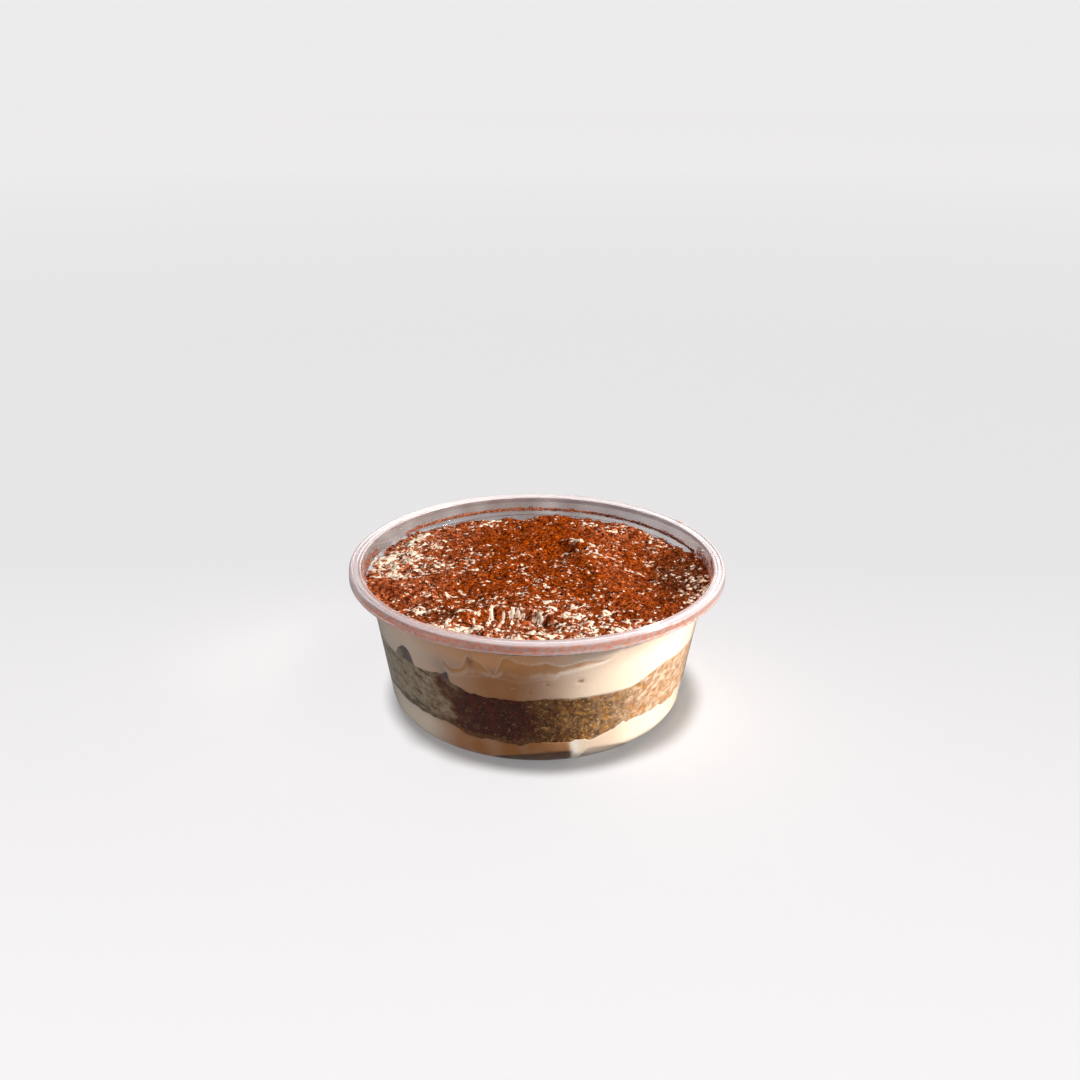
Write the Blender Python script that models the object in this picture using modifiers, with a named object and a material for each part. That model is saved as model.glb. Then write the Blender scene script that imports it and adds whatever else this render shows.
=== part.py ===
# Tiramisu in a clear round takeaway tub: mascarpone cream, a coffee-soaked sponge and more
# cream on top, filled almost to the rim. Metres, +Z up. The origin is the centre of the foot,
# and the front, where the top cream is folded over itself, faces -Y.
import math

import bmesh
import bpy

MM = 0.001
SEGMENTS = 72                   # facets around every piece, so that neighbours match
GAP = 0.3 * MM                  # clearance kept between two touching pieces

# Tub: one thin sheet, described by its outer face
HEIGHT = 46.0 * MM
RIM_RADIUS = 58.5 * MM
RIM_INSIDE = 54.8 * MM          # where the flat rim turns down into the bowl
LIP_DROP = 3.4 * MM             # depth of the skirt that hangs from the rim
SHEET = 0.7 * MM
SHELF_RADIUS = 54.0 * MM        # wall just above the stacking shelf
SHELF_HEIGHT = 40.3 * MM
SHELF_SLOPE = 0.5 * MM          # the shelf falls this much towards the wall below it
WALL_RADIUS = 52.4 * MM         # wall just below the shelf
FOOT_RADIUS = 46.2 * MM         # where the sloping wall would meet the table
CORNER = 5.0 * MM               # radius between the wall and the foot
CORNER_STEPS = 3
RECESS_RADIUS = 38.0 * MM       # the middle of the base is raised a little
RECESS_SLOPE = 1.2 * MM
RECESS = 0.8 * MM

# Food: heights where each layer meets the wall
SPONGE_UNDER = 11.2 * MM
SPONGE_OVER = 27.4 * MM
TOP_LEVEL = 40.4 * MM
TOP_TILT = 1.3 * MM             # fuller at the front than at the back
TOP_DOME = 1.0 * MM
FOLD_DEPTH = 0.7 * MM           # how far folded cream stands back from the wall
POCKET = 5.7 * MM               # height of the air pocket under the front of the base cream
POCKET_SLOPE = 0.55             # how far the pocket reaches in, for each unit of its height


def smooth(value, low, high):
    """Ease from 0 at low to 1 at high."""
    share = min(max((value - low) / (high - low), 0.0), 1.0)
    return share * share * (3.0 - 2.0 * share)


def turn_between(azimuth, centre):
    """Signed angle from centre to azimuth, in degrees."""
    return (azimuth - centre + 180.0) % 360.0 - 180.0


def bump(azimuth, centre, width):
    """Rounded bump of height 1 around an azimuth."""
    return math.exp(-(turn_between(azimuth, centre) / width) ** 2)


def azimuth_of(x, y):
    """Degrees from the front, growing towards +X."""
    return math.degrees(math.atan2(x, -y))


def rear(azimuth):
    """0 at the front and 1 at the back."""
    return 0.5 - 0.5 * math.cos(math.radians(azimuth))


# Tub

WALL_LEAN = (WALL_RADIUS - FOOT_RADIUS) / (SHELF_HEIGHT - SHELF_SLOPE)
LEAN_ANGLE = math.atan(WALL_LEAN)
CORNER_CENTRE = FOOT_RADIUS - CORNER * (1.0 - math.sin(LEAN_ANGLE)) / math.cos(LEAN_ANGLE)


def corner_angles():
    """Angles of the foot's rounding, from the wall down to the table."""
    sweep = math.pi / 2 - LEAN_ANGLE
    return [-LEAN_ANGLE - sweep * step / CORNER_STEPS for step in range(CORNER_STEPS + 1)]


def corner_arc(inset):
    """Points of the foot's rounding, moved in from the outer face by inset."""
    radius = CORNER - inset
    return [(CORNER_CENTRE + radius * math.cos(angle), CORNER + radius * math.sin(angle))
            for angle in corner_angles()]


def tub_profile():
    """Outer face of the sheet, from the skirt's free edge over the rim and down to the axis."""
    skirt = RIM_RADIUS - SHEET
    under_rim = HEIGHT - SHEET
    over_rim = [
        (skirt, HEIGHT - LIP_DROP),
        (skirt, under_rim - 0.3 * MM),
        (skirt - 0.4 * MM, under_rim),
        (RIM_INSIDE + 0.8 * MM, under_rim),
        (SHELF_RADIUS, SHELF_HEIGHT),
        (WALL_RADIUS, SHELF_HEIGHT - SHELF_SLOPE),
    ]
    base = [
        (RECESS_RADIUS, 0.0),
        (RECESS_RADIUS - RECESS_SLOPE, RECESS),
        (0.0, RECESS),
    ]
    return over_rim + corner_arc(0.0) + base


def add_object(name, mesh, material):
    """Put a mesh in the scene as a named, smooth-shaded sub-part."""
    mesh.materials.append(material)
    mesh.shade_smooth()
    mesh.set_sharp_from_angle(angle=math.radians(40.0))
    piece = bpy.data.objects.new(name, mesh)
    dish.objects.link(piece)
    return piece


def make_tub():
    """A line profile turned by Screw, with its wall thickness from Solidify."""
    profile = bmesh.new()
    points = [profile.verts.new((radius, 0.0, height)) for radius, height in tub_profile()]
    for pair in zip(points, points[1:]):
        profile.edges.new(pair)
    mesh = bpy.data.meshes.new("tub")
    profile.to_mesh(mesh)
    profile.free()
    tub = add_object("tub", mesh, clear_plastic())
    screw = tub.modifiers.new("turn", "SCREW")
    screw.steps = SEGMENTS
    screw.render_steps = SEGMENTS
    screw.use_merge_vertices = True
    screw.merge_threshold = 0.01 * MM
    screw.use_smooth_shade = True
    wall = tub.modifiers.new("wall", "SOLIDIFY")
    wall.thickness = SHEET
    wall.offset = -1.0
    wall.use_even_offset = True


# Where the food meets the tub

def food_radius(height):
    """Radius of the food at the wall, one gap inside the sheet."""
    inset = SHEET + GAP
    arc_top = CORNER - (CORNER - inset) * math.sin(LEAN_ANGLE)
    if height < arc_top:
        drop = min(CORNER - height, CORNER - inset)
        return CORNER_CENTRE + math.sqrt((CORNER - inset) ** 2 - drop ** 2)
    wall = FOOT_RADIUS + WALL_LEAN * height - inset / math.cos(LEAN_ANGLE)
    shelf = (SHELF_RADIUS - WALL_RADIUS) * smooth(height, SHELF_HEIGHT, SHELF_HEIGHT + SHEET)
    return wall + shelf


def floor_height(x, y):
    """Underside of the food, over the raised middle of the base."""
    raised = 1.0 - smooth(math.hypot(x, y), RECESS_RADIUS - RECESS_SLOPE, RECESS_RADIUS)
    return SHEET + GAP + RECESS * raised


# Edges of the layers at the wall, as heights by azimuth

def sponge_under_edge(azimuth):
    """Underside of the sponge: it sinks into the cream at the front."""
    sunk = smooth(azimuth, -36.0, -21.0) * (1.0 - smooth(azimuth, 17.0, 32.0))
    turn = math.radians(azimuth)
    waves = 0.35 * math.sin(11.0 * turn) + 0.2 * math.sin(23.0 * turn + 1.0)
    rise = 0.9 * rear(azimuth) * math.sin(3.0 * turn + 0.5)
    return SPONGE_UNDER - 2.9 * MM * sunk + (waves + rise) * MM


def sponge_over_edge(azimuth):
    """Top of the sponge, with two arches where the cream above bridges a hollow."""
    sunk = smooth(azimuth, -38.0, -16.0) * (1.0 - smooth(azimuth, 30.0, 52.0))
    arches = 4.9 * bump(azimuth, -48.6, 3.4) + 2.6 * bump(azimuth, -30.8, 1.9)
    turn = math.radians(azimuth)
    waves = 0.3 * math.sin(9.0 * turn + 0.8) + 0.2 * math.sin(19.0 * turn)
    rise = 1.2 * rear(azimuth) * math.sin(2.0 * turn + 0.4)
    return SPONGE_OVER - 3.4 * MM * sunk + (arches + waves + rise) * MM


def spread_in(edge, level, x, y):
    """A layer's surface: its edge height at the wall, level further in."""
    azimuth = azimuth_of(x, y)
    height = edge(azimuth)
    share = smooth(math.hypot(x, y) / food_radius(height), 0.7, 1.0)
    return level + (height - level) * share


def sponge_under(x, y):
    return spread_in(sponge_under_edge, SPONGE_UNDER - 1.0 * MM, x, y)


def sponge_over(x, y):
    return spread_in(sponge_over_edge, SPONGE_OVER - 1.5 * MM, x, y)


# Top of the cream: a tilted dome with spoon marks

# Swells of the surface in millimetres: x, y, rise, reach along, reach across, turn in degrees
SWELLS = [
    (6.0, 41.0, 1.6, 15.0, 8.0, 0.0),        # mound at the back
    (-40.0, 20.0, 1.2, 15.0, 9.0, 75.0),     # shoulder on the left
    (14.0, 20.0, 2.3, 6.0, 3.4, -38.0),      # curled crest
    (16.0, 6.0, 1.1, 9.0, 4.0, 95.0),        # ridge running forward from the crest
    (20.5, -11.0, 1.0, 10.0, 4.5, 108.0),
    (28.0, -25.0, 0.9, 10.0, 4.5, 125.0),
    (37.0, 2.0, -1.5, 21.0, 11.0, 95.0),     # smooth bowl on the right
    (6.0, 16.0, -1.6, 5.5, 5.0, 0.0),        # hollow behind the curl
    (-23.0, -18.0, -1.3, 8.0, 5.0, 15.0),    # hollow behind the front fold
    (-18.0, -38.0, 1.5, 8.0, 4.0, -40.0),    # small fold at the front left
    (-14.0, 27.0, -0.9, 12.0, 8.0, 20.0),    # shallow dip at the back left
]

FOLD_X = -9.0                   # middle of the front fold, in millimetres
FOLD_Y = -30.0
FOLD_REACH = 14.0
FOLD_RISE = 1.7
FOLD_DROP = 2.7


def swell(x, y, centre_x, centre_y, rise, along, across, turn):
    """One smooth swell, in millimetres."""
    angle = math.radians(turn)
    east = x - centre_x
    north = y - centre_y
    u = (east * math.cos(angle) + north * math.sin(angle)) / along
    v = (north * math.cos(angle) - east * math.sin(angle)) / across
    return rise * math.exp(-u * u - v * v)


def front_fold(x, y):
    """A ridge left by the spatula, with a steep face towards the front, in millimetres."""
    bow = ((x - FOLD_X) / 7.0) ** 2
    behind = y - (FOLD_Y - bow)
    along = math.exp(-((x - FOLD_X) / FOLD_REACH) ** 4)
    crown = FOLD_RISE * math.exp(-(max(behind, 0.0) / 9.0) ** 2)
    face = 1.0 - smooth(-behind, 0.0, 4.0)
    trough = FOLD_DROP * smooth(-behind, 0.5, 4.0) * (1.0 - smooth(-behind, 4.5, 15.0))
    return along * (crown * face - trough)


def cream_top(x, y):
    """Height of the top cream's surface."""
    reach = food_radius(TOP_LEVEL)
    tilt = -TOP_TILT * y / reach
    dome = TOP_DOME * (1.0 - (x * x + y * y) / reach ** 2)
    marks = sum(swell(x / MM, y / MM, *shape) for shape in SWELLS)
    return TOP_LEVEL + tilt + dome + (marks + front_fold(x / MM, y / MM)) * MM


# Relief where the cream lies against the wall

def lower_fold(azimuth):
    """Top edge of the lowest sheet of cream, in millimetres."""
    rise = 6.0 * smooth(azimuth, 4.0, 34.0) - 3.0 * smooth(-azimuth, 14.0, 30.0)
    return 31.0 + rise + 0.5 * math.sin(math.radians(azimuth * 12.0))


def upper_fold(azimuth):
    """Lower edge of the sheet of cream that hangs over it, in millimetres."""
    rise = 2.2 * smooth(azimuth, 14.0, 34.0) + 2.5 * smooth(-azimuth, 2.0, 12.0)
    return 36.6 + rise + 0.6 * math.cos(math.radians(azimuth * 16.0))


def fold_relief(azimuth, height):
    """How far the top cream stands back from the wall between its folds."""
    level = height / MM
    front = smooth(azimuth, -33.0, -27.0) * (1.0 - smooth(azimuth, 26.0, 34.0))
    over = smooth(level, lower_fold(azimuth), lower_fold(azimuth) + 1.2)
    under = 1.0 - smooth(level, upper_fold(azimuth) - 0.8, upper_fold(azimuth) + 0.4)
    sweep = 33.5 + 3.0 * math.sin(math.radians(2.0 * azimuth + 30.0))
    groove = math.exp(-((level - sweep) / 1.3) ** 2) * smooth(rear(azimuth), 0.35, 0.6)
    clear_of_sponge = smooth(height, sponge_over_edge(azimuth) + MM, sponge_over_edge(azimuth) + 3 * MM)
    return FOLD_DEPTH * clear_of_sponge * (front * over * under + 0.7 * groove)


def pocket_relief(azimuth, height):
    """How far the base cream stands back around the air pocket, with one tongue across it."""
    share = turn_between(azimuth, 10.0) / 29.0
    dome = POCKET * math.sqrt(max(1.0 - share * share, 0.0))
    tongue = bump(azimuth, 12.8, 2.0)
    return POCKET_SLOPE * max(dome - height, 0.0) * (1.0 - tongue)


def no_relief(azimuth, height):
    return 0.0


# Layers

def turned_blank(bottom, rings, top):
    """A drum of unit radius whose side has one ring for each whole number of height."""
    last = rings - 1
    outline = [(radius, 0.0) for radius in bottom]
    outline += [(1.0, float(ring)) for ring in range(rings)]
    outline += [(radius, float(last)) for radius in reversed(top)]
    drum = bmesh.new()
    points = [drum.verts.new((radius, 0.0, height)) for radius, height in outline]
    sides = [drum.edges.new(pair) for pair in zip(points, points[1:])]
    bmesh.ops.spin(drum, geom=points + sides, cent=(0.0, 0.0, 0.0), axis=(0.0, 0.0, 1.0),
                   angle=math.tau, steps=SEGMENTS, use_merge=True)
    bmesh.ops.remove_doubles(drum, verts=drum.verts, dist=1e-5)
    return drum


def make_layer(name, material, under, over, bottom, heights, top, relief):
    """Press a drum between two surfaces: heights(azimuth) places the rings on its side."""
    rings = len(heights(0.0))
    drum = turned_blank(bottom, rings, top)
    for point in drum.verts:
        share = math.hypot(point.co.x, point.co.y)
        azimuth = azimuth_of(point.co.x, point.co.y)
        ring = round(point.co.z)
        level = heights(azimuth)[ring]
        radius = share * food_radius(level)
        if share > 0.999:
            radius -= relief(azimuth, level)
        turn = math.radians(azimuth)
        x = radius * math.sin(turn)
        y = -radius * math.cos(turn)
        if share < 0.999:
            level = under(x, y) if ring == 0 else over(x, y)
        point.co = (x, y, level)
    # Two layers that meet are cut along the same diagonals, so their gap stays even
    bmesh.ops.triangulate(drum, faces=drum.faces, quad_method="SHORT_EDGE")
    bmesh.ops.recalc_face_normals(drum, faces=drum.faces)
    mesh = bpy.data.meshes.new(name)
    drum.to_mesh(mesh)
    drum.free()
    return add_object(name, mesh, material)


def even_heights(low, high, steps):
    return [low + (high - low) * step / steps for step in range(steps + 1)]


def base_heights(azimuth):
    """Rings on the foot's rounding, then up to the sponge."""
    arc = [height for radius, height in corner_arc(SHEET + GAP)]
    arc.reverse()
    return arc + [sponge_under_edge(azimuth) - GAP / 2]


def sponge_heights(azimuth):
    low = sponge_under_edge(azimuth) + GAP / 2
    high = sponge_over_edge(azimuth) - GAP / 2
    return even_heights(low, high, 3)


def top_heights(azimuth):
    """Even rings up to the shelf, then one on each side of it."""
    turn = math.radians(azimuth)
    reach = food_radius(TOP_LEVEL)
    crown = cream_top(reach * math.sin(turn), -reach * math.cos(turn))
    low = sponge_over_edge(azimuth) + GAP / 2
    below_shelf = min(SHELF_HEIGHT, crown - 0.2 * MM)
    above_shelf = min(SHELF_HEIGHT + SHEET, crown - 0.1 * MM)
    return even_heights(low, below_shelf, 6) + [above_shelf, crown]


def raised_by(surface, distance):
    return lambda x, y: surface(x, y) + distance


def make_food():
    raised_middle = [0.0, 0.5, (RECESS_RADIUS - RECESS_SLOPE) / CORNER_CENTRE,
                     RECESS_RADIUS / CORNER_CENTRE]
    inner_rings = [0.0, 0.4, 0.7, 0.85]
    spoon_rings = [0.0, 0.14, 0.26, 0.37, 0.47, 0.55, 0.62, 0.68, 0.74, 0.82, 0.91]
    make_layer("base_cream", cream("base_cream"), floor_height, raised_by(sponge_under, -GAP / 2),
               raised_middle, base_heights, inner_rings, pocket_relief)
    make_layer("sponge", soaked_sponge(), raised_by(sponge_under, GAP / 2),
               raised_by(sponge_over, -GAP / 2), inner_rings, sponge_heights, inner_rings, no_relief)
    make_layer("top_cream", cream("top_cream"), raised_by(sponge_over, GAP / 2), cream_top,
               inner_rings, top_heights, spoon_rings, fold_relief)


# Materials

def principled(name, colour, roughness):
    material = bpy.data.materials.new(name)
    material.use_nodes = True
    shader = material.node_tree.nodes["Principled BSDF"]
    shader.inputs["Base Color"].default_value = (*colour, 1.0)
    shader.inputs["Roughness"].default_value = roughness
    shader.inputs["Metallic"].default_value = 0.0
    material.diffuse_color = (*colour, 1.0)
    return material


def clear_plastic():
    material = principled("tub", (0.90, 0.90, 0.92), 0.12)
    material.node_tree.nodes["Principled BSDF"].inputs["Transmission Weight"].default_value = 1.0
    return material


def cream(name):
    return principled(name, (0.90, 0.82, 0.70), 0.45)


def soaked_sponge():
    return principled("sponge", (0.30, 0.14, 0.05), 0.7)


for leftover in list(bpy.data.objects):
    bpy.data.objects.remove(leftover)
dish = bpy.data.collections.new("tiramisu")
bpy.context.scene.collection.children.link(dish)
make_tub()
make_food()
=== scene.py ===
import math

import bmesh
import bpy
import numpy as np
from mathutils import Matrix, Vector


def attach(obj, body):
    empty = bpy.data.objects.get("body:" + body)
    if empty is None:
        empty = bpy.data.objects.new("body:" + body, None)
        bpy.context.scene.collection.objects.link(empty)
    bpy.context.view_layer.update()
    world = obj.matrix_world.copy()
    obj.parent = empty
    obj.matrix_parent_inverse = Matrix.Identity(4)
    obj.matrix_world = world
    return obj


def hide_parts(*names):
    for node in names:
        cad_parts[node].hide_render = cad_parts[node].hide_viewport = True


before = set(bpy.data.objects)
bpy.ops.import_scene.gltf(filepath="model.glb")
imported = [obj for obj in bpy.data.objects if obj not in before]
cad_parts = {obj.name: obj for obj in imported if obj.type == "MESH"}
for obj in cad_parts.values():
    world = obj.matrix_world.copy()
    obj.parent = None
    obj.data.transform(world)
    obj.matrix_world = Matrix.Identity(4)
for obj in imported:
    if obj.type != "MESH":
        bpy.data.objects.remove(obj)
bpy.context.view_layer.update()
mm = 0.001


# Small sums, which take single numbers or whole arrays

def smooth(value, low, high):
    share = np.clip((value - low) / (high - low), 0.0, 1.0)
    return share * share * (3.0 - 2.0 * share)


def turnBetween(azimuth, centre):  # signed angle in degrees
    return (azimuth - centre + 180.0) % 360.0 - 180.0


def bump(azimuth, centre, width):
    return np.exp(-(turnBetween(azimuth, centre) / width) ** 2)


def azimuthOf(x, y):  # degrees from the front, growing towards +X
    return np.degrees(np.arctan2(x, -y))


def rear(azimuth):  # 0 at the front, 1 at the back
    return 0.5 - 0.5 * np.cos(np.radians(azimuth))


def swell(x, y, centreX, centreY, rise, along, across, turn):
    angle = math.radians(turn)
    east = x - centreX
    north = y - centreY
    u = (east * math.cos(angle) + north * math.sin(angle)) / along
    v = (north * math.cos(angle) - east * math.sin(angle)) / across
    return rise * np.exp(-u * u - v * v)


# Noise for the food's relief

def scramble(cells, seed):  # a number from 0 to 1 for each cell
    x, y, z = (cells[:, axis].astype(np.uint32) for axis in range(3))
    mixed = x * np.uint32(374761393) + y * np.uint32(668265263) + z * np.uint32(2246822519)
    mixed = mixed + np.uint32(seed * 974711 + 17)
    mixed = (mixed ^ (mixed >> np.uint32(13))) * np.uint32(1274126177)
    mixed = (mixed ^ (mixed >> np.uint32(16))) * np.uint32(2246822519)
    return (mixed ^ (mixed >> np.uint32(15))) / 4294967296.0


def grain(x, y, z, size, seed=0):  # soft lumps about one size across, from -1 to 1
    place = np.stack(np.broadcast_arrays(x, y, z), axis=-1).reshape(-1, 3) / size
    cell = np.floor(place).astype(np.int64)
    part = place - cell
    fade = part ** 3 * (part * (part * 6.0 - 15.0) + 10.0)
    total = np.zeros(len(place))
    for corner in np.ndindex(2, 2, 2):
        step = np.array(corner)
        weight = np.prod(np.where(step == 1, fade, 1.0 - fade), axis=1)
        slope = sum((scramble(cell + step, seed + axis) * 2.0 - 1.0) * (part - step)[:, axis]
                    for axis in range(3))
        total += weight * slope
    return (total * 1.6).reshape(np.broadcast(x, y, z).shape)


def cellWalls(x, y, z, size, seed=0):  # 0 on the walls between cells, growing inwards
    place = np.stack(np.broadcast_arrays(x, y, z), axis=-1).reshape(-1, 3) / size
    cell = np.floor(place).astype(np.int64)
    nearest = np.full(len(place), 9.0)
    second = np.full(len(place), 9.0)
    for step in np.ndindex(3, 3, 3):
        other = cell + np.array(step) - 1
        core = np.stack([scramble(other, seed + axis) for axis in range(3)], axis=1)
        away = np.linalg.norm(other + core - place, axis=1)
        second = np.minimum(second, np.maximum(nearest, away))
        nearest = np.minimum(nearest, away)
    return (second - nearest).reshape(np.broadcast(x, y, z).shape)


# Stage: camera, floor and light

cameraPlace = {
    "distance": 350 * mm,
    "elevation": 30.45,  # degrees above the floor
    "aim": (0.8 * mm, 0.0, 51.75 * mm),
    "roll": 0.45,
    "lens": 34.93,
}

lamps = {
    "key": {"azimuth": 79.0, "elevation": 40.0, "distance": 0.7, "size": 0.12, "power": 8.0,
            "colour": (1.0, 0.925, 0.83)},
    "fill": {"azimuth": -60.0, "elevation": 40.0, "distance": 0.8, "size": 0.6, "power": 0.29,
             "colour": (1.0, 0.95, 0.90)},
}
sheens = {  # broad panels that only the plastic reflects
    "back_sheen": {"azimuth": 155.0, "elevation": 38.0, "distance": 1.0, "size": 0.9, "power": 5.2,
                   "colour": (0.90, 0.93, 1.0)},
    "front_sheen": {"azimuth": -15.0, "elevation": 58.0, "distance": 1.2, "size": 1.8, "power": 4.0,
                    "colour": (1.0, 0.88, 0.83)},
}
floorLamp = {"azimuth": -100.0, "elevation": 85.0, "softness": 14.0, "strength": 4.6}
floorWash = 1.70  # shadowless part of the light on the floor
backdrop = {"colour": (0.845, 0.835, 0.843), "glow": (1.0, 0.93, 0.88), "glowStrength": 0.19}
# The floor's colour is a painted falloff of light: paler in front of the tub, darker towards the back and out
# to the sides, and far off as pale as the wall.
floorLook = {"half": 30.0, "near": (0.435, 0.429, 0.437), "far": (0.358, 0.355, 0.361), "roughness": 0.9,
             "distant": (0.387, 0.383, 0.389),  # as pale as the wall behind
             "depth": (-0.22, 0.10),  # from the front to the back of the tub
             "reach": (0.25, 0.6, 3.0)}  # metres from the tub


def towards(azimuth, elevation, distance):
    turn = math.radians(azimuth)
    rise = math.radians(elevation)
    return Vector((math.sin(turn) * math.cos(rise), -math.cos(turn) * math.cos(rise),
                   math.sin(rise))) * distance


def makeCamera():
    look = bpy.data.cameras.new("view_camera")
    look.lens = cameraPlace["lens"]
    look.sensor_width = 36.0
    look.clip_start = 0.01
    look.clip_end = 100.0
    camera = bpy.data.objects.new("view_camera", look)
    bpy.context.scene.collection.objects.link(camera)
    place = towards(0.0, cameraPlace["elevation"], cameraPlace["distance"])
    facing = (Vector(cameraPlace["aim"]) - place).to_track_quat("-Z", "Y")
    roll = Matrix.Rotation(math.radians(cameraPlace["roll"]), 4, "Z")
    camera.matrix_world = Matrix.Translation(place) @ facing.to_matrix().to_4x4() @ roll
    bpy.context.scene.camera = camera


def makeFloor():
    sheet = bmesh.new()
    bmesh.ops.create_grid(sheet, x_segments=2, y_segments=2, size=floorLook["half"])
    mesh = meshFrom(sheet, "floor")
    material, tree, shader = newMaterial("floor")
    place = addNode(tree, "ShaderNodeTexCoord")
    parts = addNode(tree, "ShaderNodeSeparateXYZ")
    tree.links.new(place.outputs["Object"], parts.inputs["Vector"])
    # painted falloff of light across the floor
    depth = mapNode(tree, parts.outputs["Y"], *floorLook["depth"], 0, 1)
    away = addNode(tree, "ShaderNodeVectorMath", operation="LENGTH")
    tree.links.new(place.outputs["Object"], away.inputs[0])
    outer = mapNode(tree, away.outputs["Value"], *floorLook["reach"][:2], 0, 1)
    dimmer = mathNode(tree, "MAXIMUM", depth, outer)
    tone = mixColour(tree, dimmer, floorLook["near"], floorLook["far"])
    horizon = mapNode(tree, away.outputs["Value"], *floorLook["reach"][1:], 0, 1)
    setInputs(tree, shader, {"Base Color": mixColour(tree, horizon, tone, floorLook["distant"]),
                             "Roughness": floorLook["roughness"]})
    mesh.materials.append(material)
    floor = bpy.data.objects.new("floor", mesh)
    stageSet.objects.link(floor)
    floor.visible_diffuse = False  # it neither lights the food from below
    floor.visible_glossy = False  # nor veils the side wall with its reflection


def makeLamp(name, lamp, place, receivers):
    light = bpy.data.objects.new(name, lamp)
    bpy.context.scene.collection.objects.link(light)
    facing = (Vector((0.0, 0.0, 30 * mm)) - place).to_track_quat("-Z", "Y")
    light.matrix_world = Matrix.Translation(place) @ facing.to_matrix().to_4x4()
    light.light_linking.receiver_collection = receivers
    return light


def makeBackdrop():  # the far wall, as pale as the floor, and a dimmer glow on the food
    world = bpy.data.worlds.new("studio")
    world.use_nodes = True
    tree = world.node_tree
    glow = tree.nodes["Background"]
    setInputs(tree, glow, {"Color": backdrop["glow"], "Strength": backdrop["glowStrength"]})
    wall = addNode(tree, "ShaderNodeBackground")
    setInputs(tree, wall, {"Color": backdrop["colour"]})
    mixByRay(tree, "Is Camera Ray", glow, wall, "World Output")
    bpy.context.scene.world = world
    bpy.context.scene.view_settings.view_transform = "Standard"


def makeLights():
    for settings, receivers in ((lamps, dish), (sheens, plasticSet)):
        for name, setting in settings.items():
            lamp = bpy.data.lights.new(name, "AREA")
            lamp.shape = "DISK"
            lamp.size = setting["size"]
            lamp.energy = setting["power"]
            lamp.color = setting["colour"]
            place = towards(setting["azimuth"], setting["elevation"], setting["distance"])
            makeLamp(name, lamp, place, receivers)
    sun = bpy.data.lights.new("floor_lamp", "SUN")
    sun.energy = floorLamp["strength"]
    sun.angle = math.radians(floorLamp["softness"])
    place = towards(floorLamp["azimuth"], floorLamp["elevation"], 2.0)
    light = makeLamp("floor_lamp", sun, place, stageSet)
    light.light_linking.blocker_collection = shadowSet  # a close, soft shadow
    wash = bpy.data.lights.new("floor_wash", "SUN")
    wash.energy = floorWash
    wash.use_shadow = False
    makeLamp("floor_wash", wash, place, stageSet)


# Material helpers, sizes in mm

def newMaterial(name):
    material = bpy.data.materials.new(name)
    material.use_nodes = True
    tree = material.node_tree
    return material, tree, tree.nodes["Principled BSDF"]


def addNode(tree, kind, **settings):
    node = tree.nodes.new(kind)
    for key, value in settings.items():
        setattr(node, key, value)
    return node


def plug(tree, value, socket):
    if isinstance(value, (int, float)):
        socket.default_value = value
    elif isinstance(value, tuple):
        socket.default_value = (*value, 1.0)[:len(socket.default_value)]
    else:
        tree.links.new(value, socket)


def setInputs(tree, node, values):
    for name, value in values.items():
        plug(tree, value, node.inputs[name])


def mixByRay(tree, ray, usual, other, output):  # the other shader only where the ray is of that kind
    path = addNode(tree, "ShaderNodeLightPath")
    mix = addNode(tree, "ShaderNodeMixShader")
    for source, socket in zip((path.outputs[ray], usual.outputs[0], other.outputs[0]), mix.inputs):
        tree.links.new(source, socket)
    tree.links.new(mix.outputs["Shader"], tree.nodes[output].inputs["Surface"])


def noiseNode(tree, size, detail=2.0, roughness=0.5):
    place = addNode(tree, "ShaderNodeTexCoord")
    texture = addNode(tree, "ShaderNodeTexNoise")
    setInputs(tree, texture, {"Vector": place.outputs["Object"], "Scale": 1.0 / (size * mm),
                              "Detail": detail, "Roughness": roughness})
    return texture.outputs["Fac"]


def attributeNode(tree, name):
    return addNode(tree, "ShaderNodeAttribute", attribute_name=name).outputs["Fac"]


def rampNode(tree, source, stops):
    ramp = addNode(tree, "ShaderNodeValToRGB")
    elements = ramp.color_ramp.elements
    while len(elements) < len(stops):
        elements.new(0.5)
    for element, (place, colour) in zip(elements, stops):
        element.position = place
        element.color = (*colour, 1.0)
    tree.links.new(source, ramp.inputs["Fac"])
    return ramp.outputs["Color"]


def mapNode(tree, source, fromLow, fromHigh, toLow, toHigh):
    span = addNode(tree, "ShaderNodeMapRange")
    setInputs(tree, span, {"Value": source, "From Min": fromLow, "From Max": fromHigh,
                           "To Min": toLow, "To Max": toHigh})
    return span.outputs["Result"]


def mixColour(tree, factor, first, second, blend="MIX"):
    mix = addNode(tree, "ShaderNodeMix", data_type="RGBA", blend_type=blend)
    for value, socket in ((factor, mix.inputs[0]), (first, mix.inputs[6]), (second, mix.inputs[7])):
        plug(tree, value, socket)
    return mix.outputs[2]


def mathNode(tree, operation, first, second):
    result = addNode(tree, "ShaderNodeMath", operation=operation)
    tree.links.new(first, result.inputs[0])
    tree.links.new(second, result.inputs[1])
    return result.outputs["Value"]


def productNode(tree, first, second):
    return mathNode(tree, "MULTIPLY", first, second)


def bumpNode(tree, height, strength, depth):
    lift = addNode(tree, "ShaderNodeBump")
    setInputs(tree, lift, {"Height": height, "Strength": strength, "Distance": depth * mm})
    return lift.outputs["Normal"]


def addPiece(name, mesh, material, replaced=None):
    mesh.materials.append(material)
    mesh.shade_smooth()
    piece = bpy.data.objects.new(name, mesh)
    dish.objects.link(piece)
    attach(piece, "root")
    if replaced:
        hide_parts(replaced)
    return piece


def meshFrom(shape, name):
    mesh = bpy.data.meshes.new(name)
    shape.to_mesh(mesh)
    shape.free()
    return mesh


def readPoints(mesh):
    places = np.empty(len(mesh.vertices) * 3)
    mesh.vertices.foreach_get("co", places)
    return places.reshape(-1, 3)


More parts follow.
